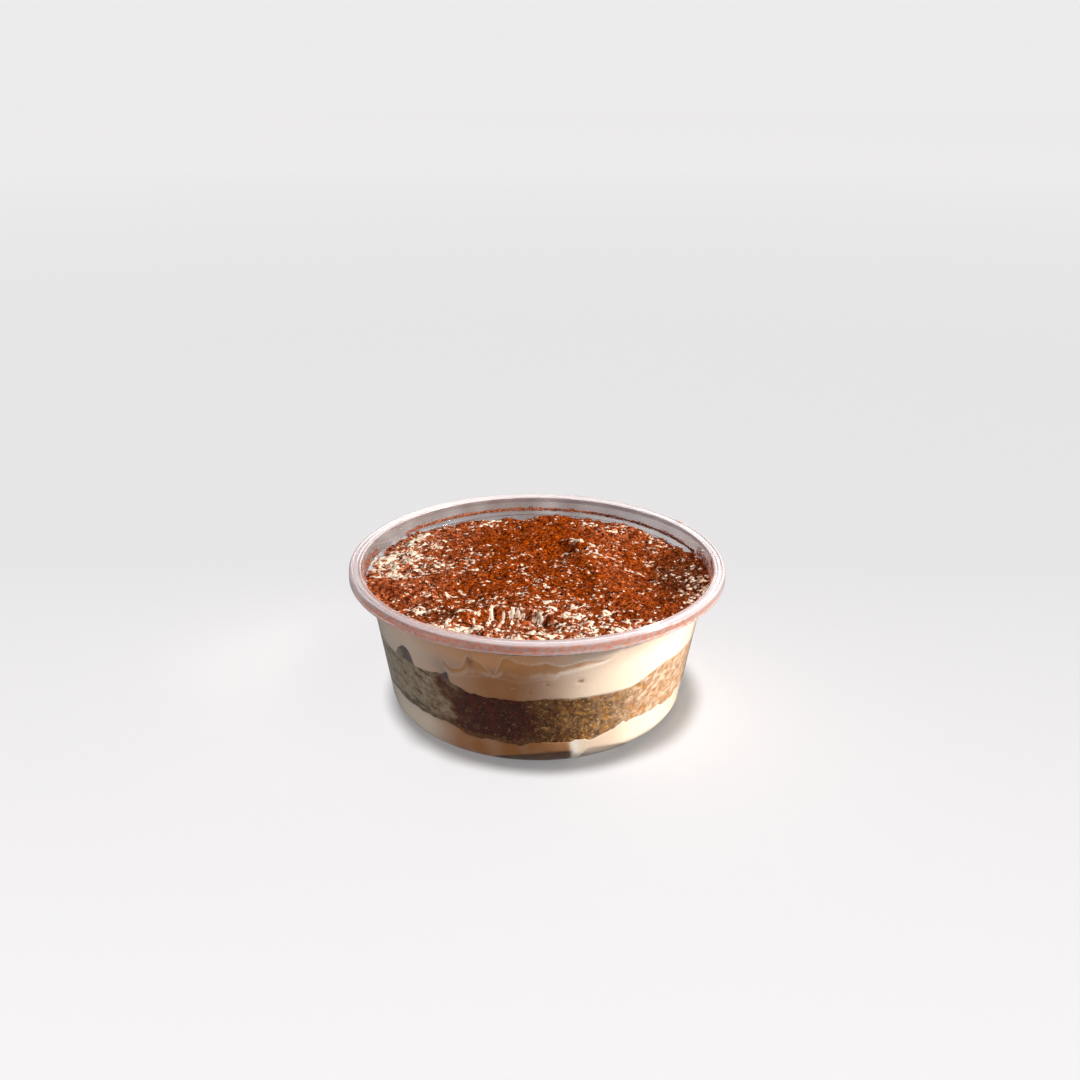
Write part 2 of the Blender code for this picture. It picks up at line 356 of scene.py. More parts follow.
def writePoints(mesh, places):
    mesh.vertices.foreach_set("co", np.ascontiguousarray(places, dtype=np.float32).ravel())
    mesh.update()


def writeField(mesh, name, values):
    field = mesh.attributes.new(name, "FLOAT", "POINT")
    field.data.foreach_set("value", np.ascontiguousarray(values, dtype=np.float32))


def writeTone(mesh, name, tones):
    field = mesh.attributes.new(name, "FLOAT_COLOR", "POINT")
    full = np.concatenate([np.clip(tones, 0.0, 1.0), np.ones((len(tones), 1))], axis=1)
    field.data.foreach_set("color", np.ascontiguousarray(full, dtype=np.float32).ravel())


def toneNode(tree, name):
    return addNode(tree, "ShaderNodeAttribute", attribute_name=name).outputs["Color"]


def blendTone(tones, other, share):
    share = np.clip(share, 0.0, 1.0)[:, None]
    return tones * (1.0 - share) + np.array(other) * share


dish = bpy.data.collections.new("tiramisu")
stageSet = bpy.data.collections.new("stage")
plasticSet = bpy.data.collections.new("plastic")
shadowSet = bpy.data.collections.new("shadow")
for group in (dish, stageSet, plasticSet, shadowSet):
    bpy.context.scene.collection.children.link(group)
makeCamera()
makeFloor()
makeBackdrop()
makeLights()
print("stage ready")


# Tub

tubShape = {
    "height": 46.0,
    "rimRadius": 58.5,
    "rimInside": 54.8,
    "lipDrop": 3.0,
    "sheet": 0.7,
    "shelfRadius": 54.0,
    "shelfHeight": 40.3,
    "shelfSlope": 0.5,
    "wallRadius": 52.4,
    "footRadius": 46.2,
    "corner": 5.0,
    "recessRadius": 38.0,
    "recessSlope": 1.2,
    "recess": 0.8,
    "steps": 600,
    "ribDepth": 0.06,
}
wallLean = ((tubShape["wallRadius"] - tubShape["footRadius"])
            / (tubShape["shelfHeight"] - tubShape["shelfSlope"]))
leanAngle = math.atan(wallLean)
cornerCentre = (tubShape["footRadius"]
                - tubShape["corner"] * (1.0 - math.sin(leanAngle)) / math.cos(leanAngle))

plasticLook = {
    "wall": {"colour": (0.97, 0.965, 0.97), "roughness": 0.03, "gloss": 0.07, "waves": 0.15,
             "transmission": 1.0, "shadow": (0.95, 0.95, 0.95)},
    "rim": {"colour": (0.69, 0.645, 0.675), "roughness": 0.10, "gloss": 0.7, "waves": 0.0,
            "transmission": 0.66, "shadow": (0.86, 0.84, 0.84)},
    "ior": 1.49,
}
filmTints = {"back": (0.36, 0.305, 0.29), "front": (0.84, 0.36, 0.26),  # tints of a thin film of cocoa on the inner wall; the two below are painted light on the rim
             # painted refraction: the cocoa seen through the front of the skirt
             "skirt": (0.95, 0.34, 0.15),
             # painted sheen on the outside of the rim at the back
             "pale": (0.93, 0.915, 0.93)}
tubFilm = {"foot": (40.2, 41.0), "head": (45.2, 45.7), "radius": 55.6}  # where the film fades, mm
rimPart = {"radius": 54.6, "height": 42.0}  # the rim's own plastic begins here


def clearPlastic(name, look):
    material, tree, shader = newMaterial(name)
    # dust and film carry the cocoa film, and also painted refraction and painted sheen on the rim
    tint = mixColour(tree, attributeNode(tree, "dust"), look["colour"], toneNode(tree, "film"))
    haze = noiseNode(tree, 16, 3)
    rough = mapNode(tree, haze, 0.3, 0.7, look["roughness"] * 0.5, look["roughness"] * 1.6)
    setInputs(tree, shader, {
        "Base Color": tint,
        "Roughness": rough,
        "IOR": plasticLook["ior"],
        "Specular IOR Level": look["gloss"],
        "Transmission Weight": look["transmission"],
        "Normal": bumpNode(tree, noiseNode(tree, 7, 1), look["waves"], 0.4),
    })
    clear = addNode(tree, "ShaderNodeBsdfTransparent")  # lets light through to the food
    setInputs(tree, clear, {"Color": look["shadow"]})
    mixByRay(tree, "Is Shadow Ray", shader, clear, "Material Output")
    return material


def roundedPath(corners):  # corners are (radius, height, fillet); every fillet becomes an arc
    path = []
    for index, (x, z, fillet) in enumerate(corners):
        here = Vector((x, z))
        if fillet == 0.0 or index in (0, len(corners) - 1):
            path.append(here)
            continue
        before = (Vector(corners[index - 1][:2]) - here).normalized()
        after = (Vector(corners[index + 1][:2]) - here).normalized()
        half = before.angle(after) / 2
        centre = here + (before + after).normalized() * fillet / math.sin(half)
        first = here + before * fillet / math.tan(half) - centre
        last = here + after * fillet / math.tan(half) - centre
        sweep = first.angle_signed(last)
        steps = max(2, round(abs(sweep) / math.radians(18.0)))
        for step in range(steps + 1):
            path.append(centre + Matrix.Rotation(-sweep * step / steps, 2) @ first)
    return path


def tubPath():  # from the middle of the floor, up inside, over the rim and back underneath
    shape = tubShape
    sheet = shape["sheet"]
    top = shape["height"]
    lip = top - shape["lipDrop"]
    rim = shape["rimRadius"]
    inner = shape["rimInside"]
    shelfInside = shape["shelfRadius"] - 0.6 * sheet
    shelfTop = shape["shelfHeight"] + 0.9 * sheet
    shelfFoot = shape["shelfHeight"] - shape["shelfSlope"] + 0.9 * sheet
    wallInside = shape["wallRadius"] - sheet / math.cos(leanAngle) + 0.05
    floorTop = shape["recess"] + sheet
    footInside = shape["footRadius"] - sheet / math.cos(leanAngle) + wallLean * sheet
    wallRows = [(footInside + (wallInside - footInside) * share, sheet + (shelfFoot - sheet) * share, 0.0)
                for share in (0.90, 0.93, 0.965)]
    upperRows = [(shelfInside + (inner - shelfInside) * share, shelfTop + (top - 0.2 - shelfTop) * share, 0.0)
                 for share in (0.2, 0.45, 0.7, 0.9)]
    return roundedPath([
        (0.0, floorTop, 0.0),
        (shape["recessRadius"] - shape["recessSlope"], floorTop, 0.4),
        (shape["recessRadius"], sheet, 0.4),
        (footInside, sheet, shape["corner"] - sheet),
        *wallRows,
        (wallInside, shelfFoot, 0.3),
        (shelfInside, shelfTop, 0.15),
        *upperRows,
        (inner, top - 0.2, 0.3),
        (inner + 0.5, top - 0.05, 0.2),
        (inner + 0.75, top - 0.4, 0.12),
        (inner + 1.1, top - 0.4, 0.12),
        (inner + 1.4, top - 0.12, 0.2),
        (inner + 2.1, top - 0.15, 0.2),
        (inner + 2.35, top - 0.45, 0.12),
        (inner + 2.65, top, 0.3),
        (rim - 0.15, top, 0.7),
        (rim - 0.16, lip + 1.9, 0.0),
        (rim - 0.17, lip + 1.4, 0.0),
        (rim - 0.2, lip + 0.9, 0.3),
        (rim, lip + 0.5, 0.2),
        (rim, lip, 0.2),
        (rim - sheet, lip, 0.2),
        (rim - sheet - 0.1, top - sheet, 0.35),
        (inner + 0.7, top - sheet, 0.35),
        (shape["shelfRadius"], shape["shelfHeight"], 0.3),
        (shape["wallRadius"], shape["shelfHeight"] - shape["shelfSlope"], 0.3),
        (shape["footRadius"], 0.0, shape["corner"]),
        (shape["recessRadius"], 0.0, 0.4),
        (shape["recessRadius"] - shape["recessSlope"], shape["recess"], 0.4),
        (0.0, shape["recess"], 0.0),
    ])


def makeTub():
    shell = bmesh.new()
    points = [shell.verts.new((radius * mm, 0.0, height * mm)) for radius, height in tubPath()]
    line = [shell.edges.new(pair) for pair in zip(points, points[1:])]
    bmesh.ops.spin(shell, geom=points + line, cent=(0, 0, 0), axis=(0, 0, 1), angle=math.tau / 4,
                   steps=tubShape["steps"] // 4)
    bmesh.ops.remove_doubles(shell, verts=shell.verts, dist=2e-6)
    for axis in "XY":  # a quarter is turned and mirrored twice
        bmesh.ops.mirror(shell, geom=shell.verts[:] + shell.edges[:] + shell.faces[:], axis=axis,
                         merge_dist=2e-6)
    bmesh.ops.recalc_face_normals(shell, faces=shell.faces)
    mesh = meshFrom(shell, "tub")
    places = readPoints(mesh)
    radius = np.hypot(places[:, 0], places[:, 1])
    lip = (tubShape["height"] - tubShape["lipDrop"]) * mm
    onLip = (radius > (tubShape["rimRadius"] - 0.1) * mm) & (places[:, 2] < lip + 0.6 * mm)
    step = np.round(azimuthOf(places[:, 0], places[:, 1]) * tubShape["steps"] / 360.0)
    rib = np.where(onLip & (step % 2 == 0), tubShape["ribDepth"] * mm, 0.0)
    places[:, :2] *= (1.0 - rib / np.maximum(radius, mm))[:, None]
    writePoints(mesh, places)
    radius /= mm
    height = places[:, 2] / mm
    azimuth = azimuthOf(places[:, 0], places[:, 1])
    inside = radius < tubFilm["radius"]
    film = smooth(height, *tubFilm["foot"]) * (1.0 - smooth(height, *tubFilm["head"])) * inside
    behind = smooth(rear(azimuth), 0.2, 0.6)
    smears = np.clip(0.5 + 1.3 * grain(azimuth / 3.2, height, 0, 1.4, 7), 0.0, 1.1)
    film = film * (0.9 * smears + (1.0 - 0.9 * smears) * behind)
    film = np.maximum(film, smooth(height, 37, 38) * smooth(rear(azimuth), 0.35, 0.6) * (height < 42.0))
    film = film * (1.0 - 0.5 * bump(azimuth, 122, 38) - 0.15 * bump(azimuth, -110, 30))
    patches = 0.95 + 0.35 * grain(places[:, 0] / mm, places[:, 1] / mm, height, 9, 5)
    tints = blendTone(np.tile(filmTints["front"], (len(film), 1)), filmTints["back"], behind)
    under = lip / mm
    # painted refraction of the cocoa, in mottled patches on the front of the skirt
    skirt = (radius > tubShape["rimRadius"] - 0.6) * smooth(height, under + 0.2, under + 0.6)
    skirt = skirt * (1.0 - smooth(height, under + 2.2, under + 2.9))
    skirt = skirt * (1.0 - smooth(rear(azimuth), 0.2, 0.42))
    mottle = np.clip(0.5 + 1.5 * grain(azimuth / 1.3, height, 0, 0.9, 9), 0.0, 1.0)
    tints = blendTone(tints, filmTints["skirt"], skirt)
    # painted sheen: the outside of the rim paler at the back
    pale = ~inside * smooth(height, under + 1.4, under + 2.4) * smooth(rear(azimuth), 0.3, 0.8)
    tints = blendTone(tints, filmTints["pale"], pale)
    film = np.maximum.reduce([film * patches, skirt * mottle, 0.8 * pale])
    # dust: the cocoa film, the painted refraction on the skirt and the painted sheen on the rim
    writeField(mesh, "dust", np.clip(film, 0.0, 1.0))
    writeTone(mesh, "film", tints)
    mesh.materials.append(clearPlastic("clear_plastic", plasticLook["wall"]))
    centres = np.empty(len(mesh.polygons) * 3)
    mesh.polygons.foreach_get("center", centres)
    centres = centres.reshape(-1, 3) / mm
    outer = np.hypot(centres[:, 0], centres[:, 1]) > rimPart["radius"]
    outer = outer & (centres[:, 2] > rimPart["height"])
    mesh.polygons.foreach_set("material_index", outer.astype(np.int32))
    tub = addPiece("tub", mesh, clearPlastic("rim_plastic", plasticLook["rim"]), "tub")
    plasticSet.objects.link(tub)


makeTub()
print("tub ready")


# Food: where it meets the tub

pressIn = 0.45  # how far the food reaches into the wall, so that no air gap shows


def foodRadius(height):
    shape = tubShape
    inset = shape["sheet"] - pressIn
    arcTop = shape["corner"] - (shape["corner"] - inset) * math.sin(leanAngle)
    drop = np.clip(shape["corner"] - height, 0.0, shape["corner"] - inset)
    rounded = cornerCentre + np.sqrt((shape["corner"] - inset) ** 2 - drop ** 2)
    wall = shape["footRadius"] + wallLean * height - inset / math.cos(leanAngle)
    shelf = shape["shelfRadius"] - shape["wallRadius"]
    wall = wall + shelf * smooth(height, shape["shelfHeight"], shape["shelfHeight"] + shape["sheet"])
    return np.where(height < arcTop, rounded, wall)


def floorHeight(x, y):
    slope = tubShape["recessRadius"] - tubShape["recessSlope"]
    raised = 1.0 - smooth(np.hypot(x, y), slope, tubShape["recessRadius"])
    return tubShape["sheet"] - pressIn + tubShape["recess"] * raised


# Edges of the layers at the wall, heights in mm by azimuth

layerLevels = {"spongeUnder": 11.2, "spongeOver": 27.4, "top": 40.4, "tilt": 1.3, "dome": 1.0}


def spongeUnderEdge(azimuth):
    sunk = smooth(azimuth, -36, -21) * (1.0 - smooth(azimuth, 17, 32))
    turn = np.radians(azimuth)
    waves = 0.35 * np.sin(11.0 * turn) + 0.2 * np.sin(23.0 * turn + 1.0)
    rise = 0.9 * rear(azimuth) * np.sin(3.0 * turn + 0.5)
    return layerLevels["spongeUnder"] - 2.9 * sunk + waves + rise


archOutline = [  # azimuth and lift of two gaps where the cream arches over the sponge, steep on their right
    (-55.4, 0), (-54.4, 1.7), (-53, 3), (-51, 4.4), (-49, 5.2), (-47.5, 5.1), (-46.3, 4.2),
    (-45.4, 2.6), (-44.7, 0), (-36, 0), (-34.5, 0.8), (-32, 1.1), (-30.9, 2.3), (-30.2, 2.9),
    (-29.8, 2.7), (-29.3, 0),
]


def archLift(azimuth):
    return np.interp(azimuth, *zip(*archOutline))


def spongeOverEdge(azimuth):
    sunk = smooth(azimuth, -38, -16) * (1.0 - smooth(azimuth, 30, 52))
    arches = archLift(azimuth) + 0.8 * bump(azimuth, -63, 9)
    turn = np.radians(azimuth)
    waves = 0.3 * np.sin(9.0 * turn + 0.8) + 0.2 * np.sin(19.0 * turn)
    rise = 1.2 * rear(azimuth) * np.sin(2.0 * turn + 0.4)
    return layerLevels["spongeOver"] - 3.4 * sunk + arches + waves + rise


def raggedEdge(edge, depth, seed):  # the same edge with small teeth
    def ragged(azimuth):
        turn = np.radians(azimuth)
        x = 50.0 * np.sin(turn)
        y = 50.0 * np.cos(turn)
        return edge(azimuth) + depth * (grain(x, y, 0, 3.1, seed) + 0.6 * grain(x, y, 0, 1.2, seed))
    return ragged


spongeFoot = raggedEdge(spongeUnderEdge, 0.6, 3)
spongeCrown = raggedEdge(spongeOverEdge, 0.30, 7)


def spreadIn(edge, level, x, y):
    height = edge(azimuthOf(x, y))
    share = smooth(np.hypot(x, y) / foodRadius(height), 0.7, 1)
    return level + (height - level) * share


# Top of the cream: a tilted dome with spoon marks

swells = [  # x, y, rise, reach along, reach across, turn in degrees
    (6, 41, 1.1, 14, 8, 0),  # mound at the back
    (-40, 20, 1.2, 15, 9, 75),  # shoulder on the left
    (14, 20, 2.3, 6, 3.4, -38),  # curled crest
    (16, 6, 1.1, 9, 4, 95),  # ridge running forward from the crest
    (20.5, -11, 1, 10, 4.5, 108),
    (28, -25, 0.9, 10, 4.5, 125),
    (36, 2, -2.2, 24, 10, 95),  # smooth bowl on the right
    (6, 16, -1.6, 5.5, 5, 0),  # hollow behind the curl
    (-23, -18, -1.3, 8, 5, 15),  # hollow behind the front fold
    (-18, -38, 1.5, 8, 4, -40),  # small fold at the front left
    (-14, 27, -0.9, 12, 8, 20),  # shallow dip at the back left
    (54, 2, 1.4, 26, 7, 90),  # the bowl's far side
    (-21, -25, -1.3, 7, 4, 25),  # the hollow's deep end
    (7, 15.5, -0.8, 3.5, 3.5, 0),  # under the curl
    (-14, 51, -0.9, 9, 5, 8),  # low edge at the back
    (-5, 52, -1.5, 3.2, 3, 0),  # a gap where the wall shows
    (33, 39, 0.9, 8, 5, -40),
]
frontFold = {"x": -9.0, "y": -30.0, "reach": 14.0, "rise": 1.7, "drop": 2.7}


def behindFold(x, y):  # distance behind the fold's brow, negative in front of it
    bow = ((x - frontFold["x"]) / 7.0) ** 2
    return y - (frontFold["y"] - bow)


def alongFold(x):
    return np.exp(-((x - frontFold["x"]) / frontFold["reach"]) ** 4)


def foldHeight(x, y):
    behind = behindFold(x, y)
    crown = frontFold["rise"] * np.exp(-(np.maximum(behind, 0.0) / 9.0) ** 2)
    face = 1.0 - smooth(-behind, 0, 4)
    trough = frontFold["drop"] * smooth(-behind, 0.5, 4) * (1.0 - smooth(-behind, 4.5, 15))
    return alongFold(x) * (crown * face - trough)


def creamLevel(x, y):
    reach = foodRadius(layerLevels["top"])
    tilt = -layerLevels["tilt"] * y / reach
    dome = layerLevels["dome"] * (1.0 - (x * x + y * y) / reach ** 2)
    marks = sum(swell(x, y, *shape) for shape in swells)
    return layerLevels["top"] + tilt + dome + marks + foldHeight(x, y)


creamSkin = {"lumps": (0.60, 5.5), "knobs": (0.42, 2.6), "pimples": (0.18, 1.2)}  # rise and size
speck = {"rise": 0.50, "from": -0.2, "to": 0.6}  # how far bare cream stands up where it shows


def creamTop(x, y):
    skin = sum(rise * grain(x, y, 0, size, seed)
               for seed, (rise, size) in enumerate(creamSkin.values()))
    return creamLevel(x, y) + skin + speck["rise"] * smooth(bareness(x, y), speck["from"], speck["to"])


# Where bare cream shows through the cocoa

bareSpots = [  # x, y, share of cream showing, reach along, reach across, turn
    (-47, 4, 0.25, 9, 9, 0),
    (-39.5, 27, 0.8, 5.5, 1.6, 66),
    (-43, 21.5, 0.45, 3, 2, 0),
    (-37.5, 9.5, 0.42, 5.5, 1.8, -20),
    (-50, 9, 0.3, 3.5, 3, 0),
    (-39, -5.5, 0.4, 5, 1.6, 20),
    (-42, 14, 0.12, 7, 6, 0),
    (-30, 3, 0.08, 7, 5, 0),
    (0, -46.5, 0.24, 40, 6, 0),
    (-22, -39, 0.24, 7, 5, 0),
    (-19, -41, 0.45, 6, 2.2, -15),
    (20, -38, 0.05, 9, 5, 0),
    (-1, -31, 0.13, 13, 3, 0),
    (-4, -32.5, 0.26, 8, 2, 0),
    (9, -33, 0.2, 5, 3.5, 0),
    (12, -24.5, 0.09, 7, 3, 0),
    (8, -40, 0.18, 4, 3, 0),
    (-34, -31, 0.28, 5, 4, 0),
    (-5, -25, 0.05, 28, 4, 0),
    (-18, 42, 0.2, 8, 4, 0),
    (24, 41, 0.14, 7, 3, -15),
    (40, 26, 0.14, 4, 4, 0),
    (13.5, 22, 1.1, 4, 1.6, -38),
    (18.5, 15, 0.16, 3.5, 2, -70),
    (48, -7, 0.16, 4, 9, 0),
    (51.5, -13, 0.4, 2, 4, 0),
]
fullCover = [  # the same for places where the cocoa lies thick
    (4, 30, 0.06, 18, 10, 0),
    (-49, -14, 0.25, 5, 8, 0),
    (-9, -37.5, 0.22, 9, 2, 0),
    (27, -24, 0.05, 9, 6, 0),
    (24, -4, 0.02, 9, 9, 0),
]
bareBase = 0.026


def bareShare(x, y):
    share = bareBase + sum(swell(x, y, *spot) for spot in bareSpots)
    return np.clip(share - sum(swell(x, y, *spot) for spot in fullCover), 0.003, 0.97)


def speckNoise(x, y):  # spread evenly enough for a share of the area to be cut off at a level
    sway = 0.9 * grain(x, y, 9, 2.4, 141)
    even = (grain((x + sway) / 1.25, y - sway, 5, 1.5, 41) + 0.8 * grain(x / 1.15, y, 5, 0.85, 43)
            + 0.65 * grain(x / 1.3, y, 5, 3.2, 47)) / 0.43
    streaks = (grain(x + sway, y / 3, 5, 1.5, 71) + 0.8 * grain(x, y / 1.5, 5, 0.85, 73)) / 0.38
    onFace = alongFold(x) * smooth(-behindFold(x, y), -1, 0.5) * (1.0 - smooth(-behindFold(x, y), 4, 5.5))
    return even + 0.6 * (streaks - even) * onFace


def bareness(x, y):  # above 0 where the cream is bare
    share = bareShare(x, y)
    return speckNoise(x, y) - np.log((1.0 - share) / share) / 1.7


# Relief of the food at the wall

creamFolds = {  # heights by azimuth of the hollow between the lobes that touch the wall
    "depth": 0.38,
    "foot": [(-32, 34), (-31, 30.2), (-28.5, 28.6), (-24, 29.75), (-20, 30.75), (-14.5, 31.4),
             (-11, 31.2), (-6, 30.25), (-2, 30.6), (1.5, 31.6), (6, 31.2), (7.5, 32.6), (10.5, 33.1),
             (15.5, 34.1), (21.5, 35.1), (25, 36.7), (26.4, 38.3), (28.2, 37.7), (30, 38.9), (32, 40)],
    "brow": [(-32, 34), (-30, 33.7), (-29, 32.5), (-27.3, 32), (-24.5, 32.8), (-23.2, 34.6),
             (-22.2, 37), (-21.3, 37.8), (-20.9, 36.3), (-19.6, 36.8), (-17.5, 35.7), (-16, 34.4),
             (-14, 32.3), (-13, 31.7), (-12.4, 33.8), (-11, 37), (-10.4, 38.3), (-9, 38.8),
             (-6, 37.2), (-2, 36.5), (3, 37.3), (8, 35.8), (12.5, 36.7), (15.5, 37.2), (21, 36.5),
             (24.5, 37.3), (26.4, 38.5), (28, 39.1), (31, 39.8), (32, 39.5)],
}
bubbles = [(14, 30, 1.1, 0.5), (-2, 26.9, 0.6, 0.3), (3.4, 29.7, 0.7, 0.3), (-7.5, 27.5, 0.7, 0.3)]


def foldEdge(azimuth, name):
    turns, heights = zip(*creamFolds[name])
    return np.interp(azimuth, turns, heights, left=0.0, right=0.0)


def pitShare(azimuth, level):
    return sum(np.exp(-(turnBetween(azimuth, turn) / (1.1 * wide)) ** 2 - ((level - height) / tall) ** 2)
               for turn, height, wide, tall in bubbles)


def foldRelief(azimuth, level):
    foot = foldEdge(azimuth, "foot")
    brow = foldEdge(azimuth, "brow")
    room = np.maximum(brow - foot, 0.1)
    hollow = smooth(level - foot, 0, 0.55 * room) * smooth(brow - level, 0, 0.5) * (brow > foot)
    sweep = 33.5 + 3.0 * np.sin(np.radians(2.0 * azimuth + 30.0))
    groove = 0.8 * np.exp(-((level - sweep) / 1.3) ** 2) * smooth(rear(azimuth), 0.35, 0.6)
    clear = smooth(level, spongeOverEdge(azimuth) + 0.5, spongeOverEdge(azimuth) + 1.5)
    return creamFolds["depth"] * clear * (hollow + groove) + 0.3 * pitShare(azimuth, level)


def tongueEdge(level):  # azimuth where the clean cream begins at the foot
    return 11.4 + 0.22 * (9.0 - level)


def pocketRelief(azimuth, level):
    share = turnBetween(azimuth, 10.0) / 29.0
    dome = 5.7 * np.sqrt(np.maximum(1.0 - share * share, 0.0))
    tongue = smooth(azimuth - tongueEdge(level), -0.4, 0.4)
    tongue = tongue * (1.0 - smooth(azimuth, 13.0 + 0.9 * level, 14.4 + 1.1 * level))
    return 0.35 * smooth(dome - level, 0, 1.6) * (1.0 - tongue)


def inArch(azimuth, level):  # the two gaps over the sponge at the left
    plain = spongeOverEdge(azimuth) - archLift(azimuth)
    return smooth(level, plain - 0.3, plain + 0.5) * (bump(azimuth, -48.6, 5) + bump(azimuth, -30.8, 3))


def crumbRelief(azimuth, level):
    turn = np.radians(azimuth)
    radius = foodRadius(level)
    x = radius * np.sin(turn)
    y = -radius * np.cos(turn)
    large = smooth(cellWalls(x, y, level, 2.3, 11), 0.04, 0.45)
    small = smooth(cellWalls(x, y, level, 1.05, 23), 0.04, 0.45)
    return 0.15 * large + 0.11 * small + 0.15 * inArch(azimuth, level)


# Layers: a grid pressed to a disc, with its edge drawn down the wall and closed underneath

def foodBlank(name, cells, sideRings):
    blank = bmesh.new()
    bmesh.ops.create_grid(blank, x_segments=cells, y_segments=cells, size=1.0)
    rim = [edge for edge in blank.edges if edge.is_boundary]
    for ring in range(sideRings + 3):
        grown = bmesh.ops.extrude_edge_only(blank, edges=rim)["geom"]
        corners = [part for part in grown if isinstance(part, bmesh.types.BMVert)]
        rim = [part for part in grown if isinstance(part, bmesh.types.BMEdge)]
        bmesh.ops.translate(blank, verts=corners, vec=(0.0, 0.0, -1.0))
        if ring >= sideRings:
            shrink = (0.85, 0.7, 0.0)[ring - sideRings]
            bmesh.ops.scale(blank, verts=corners, vec=(shrink, shrink, 1.0))
    bmesh.ops.remove_doubles(blank, verts=corners, dist=1e-6)
    bmesh.ops.recalc_face_normals(blank, faces=blank.faces)
    return meshFrom(blank, name)


def pressLayer(mesh, sideRings, under, over, low, high, relief):
    places = readPoints(mesh)
    u, v, code = places.T
    flatX = u * np.sqrt(1.0 - v * v / 2.0)
    flatY = v * np.sqrt(1.0 - u * u / 2.0)
    ring = np.round(-code)
    share = np.hypot(flatX, flatY)
    azimuth = azimuthOf(flatX, flatY)
    turn = np.radians(azimuth)
    crownEdge = high(azimuth)
    footEdge = low(azimuth)
    down = np.clip(ring / sideRings, 0.0, 1.0)
    level = crownEdge + (footEdge - crownEdge) * down
    side = (ring > 0) & (ring <= sideRings)
    radius = share * foodRadius(level)
    radius = np.where(side, foodRadius(level) - relief(azimuth, level), radius)
    x = radius * np.sin(turn)
    y = -radius * np.cos(turn)
    inside = (ring == 0) & (share < 0.9999)
    level = np.where(inside, over(x, y), level)
    level = np.where(ring > sideRings, under(x, y), level)
    writePoints(mesh, np.stack([x, y, level], axis=1) * mm)
    return azimuth, level, ring, side


def onWall(azimuth, level):  # a place on the wall, in mm
    radius = foodRadius(level)
    turn = np.radians(azimuth)
    return radius * np.sin(turn), -radius * np.cos(turn)


def creamEdge(azimuth):  # where the top cream ends at the wall
    level = layerLevels["top"]
    for _ in range(3):
        level = creamTop(*onWall(azimuth, level))
    return level


def baseEdge(azimuth):
    return np.full(np.shape(azimuth), tubShape["sheet"] - pressIn)


def underSponge(x, y):
    return spreadIn(spongeFoot, layerLevels["spongeUnder"] - 1.0, x, y)


def overSponge(x, y):
    return spreadIn(spongeCrown, layerLevels["spongeOver"] - 1.5, x, y)


def noRelief(azimuth, level):
    return 0.0


def toneAlong(azimuth, stops):  # colours blended between azimuths, in order from -180 to 180
    turns = [stop[0] for stop in stops]
    return np.stack([np.interp(azimuth, turns, [stop[1][part] for stop in stops], period=360.0)
                     for part in range(3)], axis=1)


creamLook = {
    "fresh": (0.90, 0.81, 0.69),
    "coffee": (0.485, 0.192, 0.040),  # where coffee has run into it, darkened further as painted shade on the side away from the key lamp
    "upperStainShade": (0.866, 0.475, 0.222),  # the stain and painted warm shade above the folds, paler and warmer
    "foldShade": (0.62, 0.27, 0.055),  # painted shade in the hollow under a fold
    # painted shade in the air bubbles against the wall
    "pitShade": (0.36, 0.17, 0.07),
    # painted shade in the notch between two folds
    "notchShade": (0.20, 0.07, 0.02),
    "shade": (0.34, 0.27, 0.26),  # deep in a gap
    "edge": (0.97, 0.90, 0.80),  # painted highlight along the brow and foot of a fold
    # painted shade: the dark crescent of the air gap at the foot
    "pool": (0.12, 0.058, 0.032),
    "dullAndShaded": (0.62, 0.44, 0.34),  # cream with cocoa rubbed in, and painted shade in the bowl on the right
    "mottle": (0.70, 0.52, 0.36),
    "film": (0.66, 0.62, 0.60),  # painted shade, paler, over the rest of the air gap at the foot
    "facetHighlight": (1.0, 0.96, 0.90),  # painted highlight where the tongue catches the light
    "roughness": 0.45,
    "gloss": 0.16,
    "softness": 0.12,
    "glow": (0.0012, 0.0008, 0.0005),  # how far each colour of light spreads inside
}
creamStainAndShade = [(-60, 0.12), (-45, 0.17), (-33, 0.45), (-24, 0.75), (-15, 0.95), (-7, 0.95),
              (-1, 0.75), (4, 0.5), (10, 0.25), (18, 0.08), (40, 0)]  # azimuth, share of coffee stain and painted shade


def creamMaterial():
    material, tree, shader = newMaterial("mascarpone")
    tone = mapNode(tree, noiseNode(tree, 5, 3), 0.3, 0.7, 0, 0.11)
    body = mixColour(tree, tone, toneNode(tree, "tone"), creamLook["mottle"])
    setInputs(tree, shader, {
        "Base Color": body,
        "Roughness": creamLook["roughness"],
        "Specular IOR Level": creamLook["gloss"],
        "Subsurface Weight": creamLook["softness"],
        "Subsurface Radius": creamLook["glow"],
        "Subsurface Scale": 1.0,
        "Normal": bumpNode(tree, noiseNode(tree, 0.7, 3), 0.25, 0.2),
    })
    return material


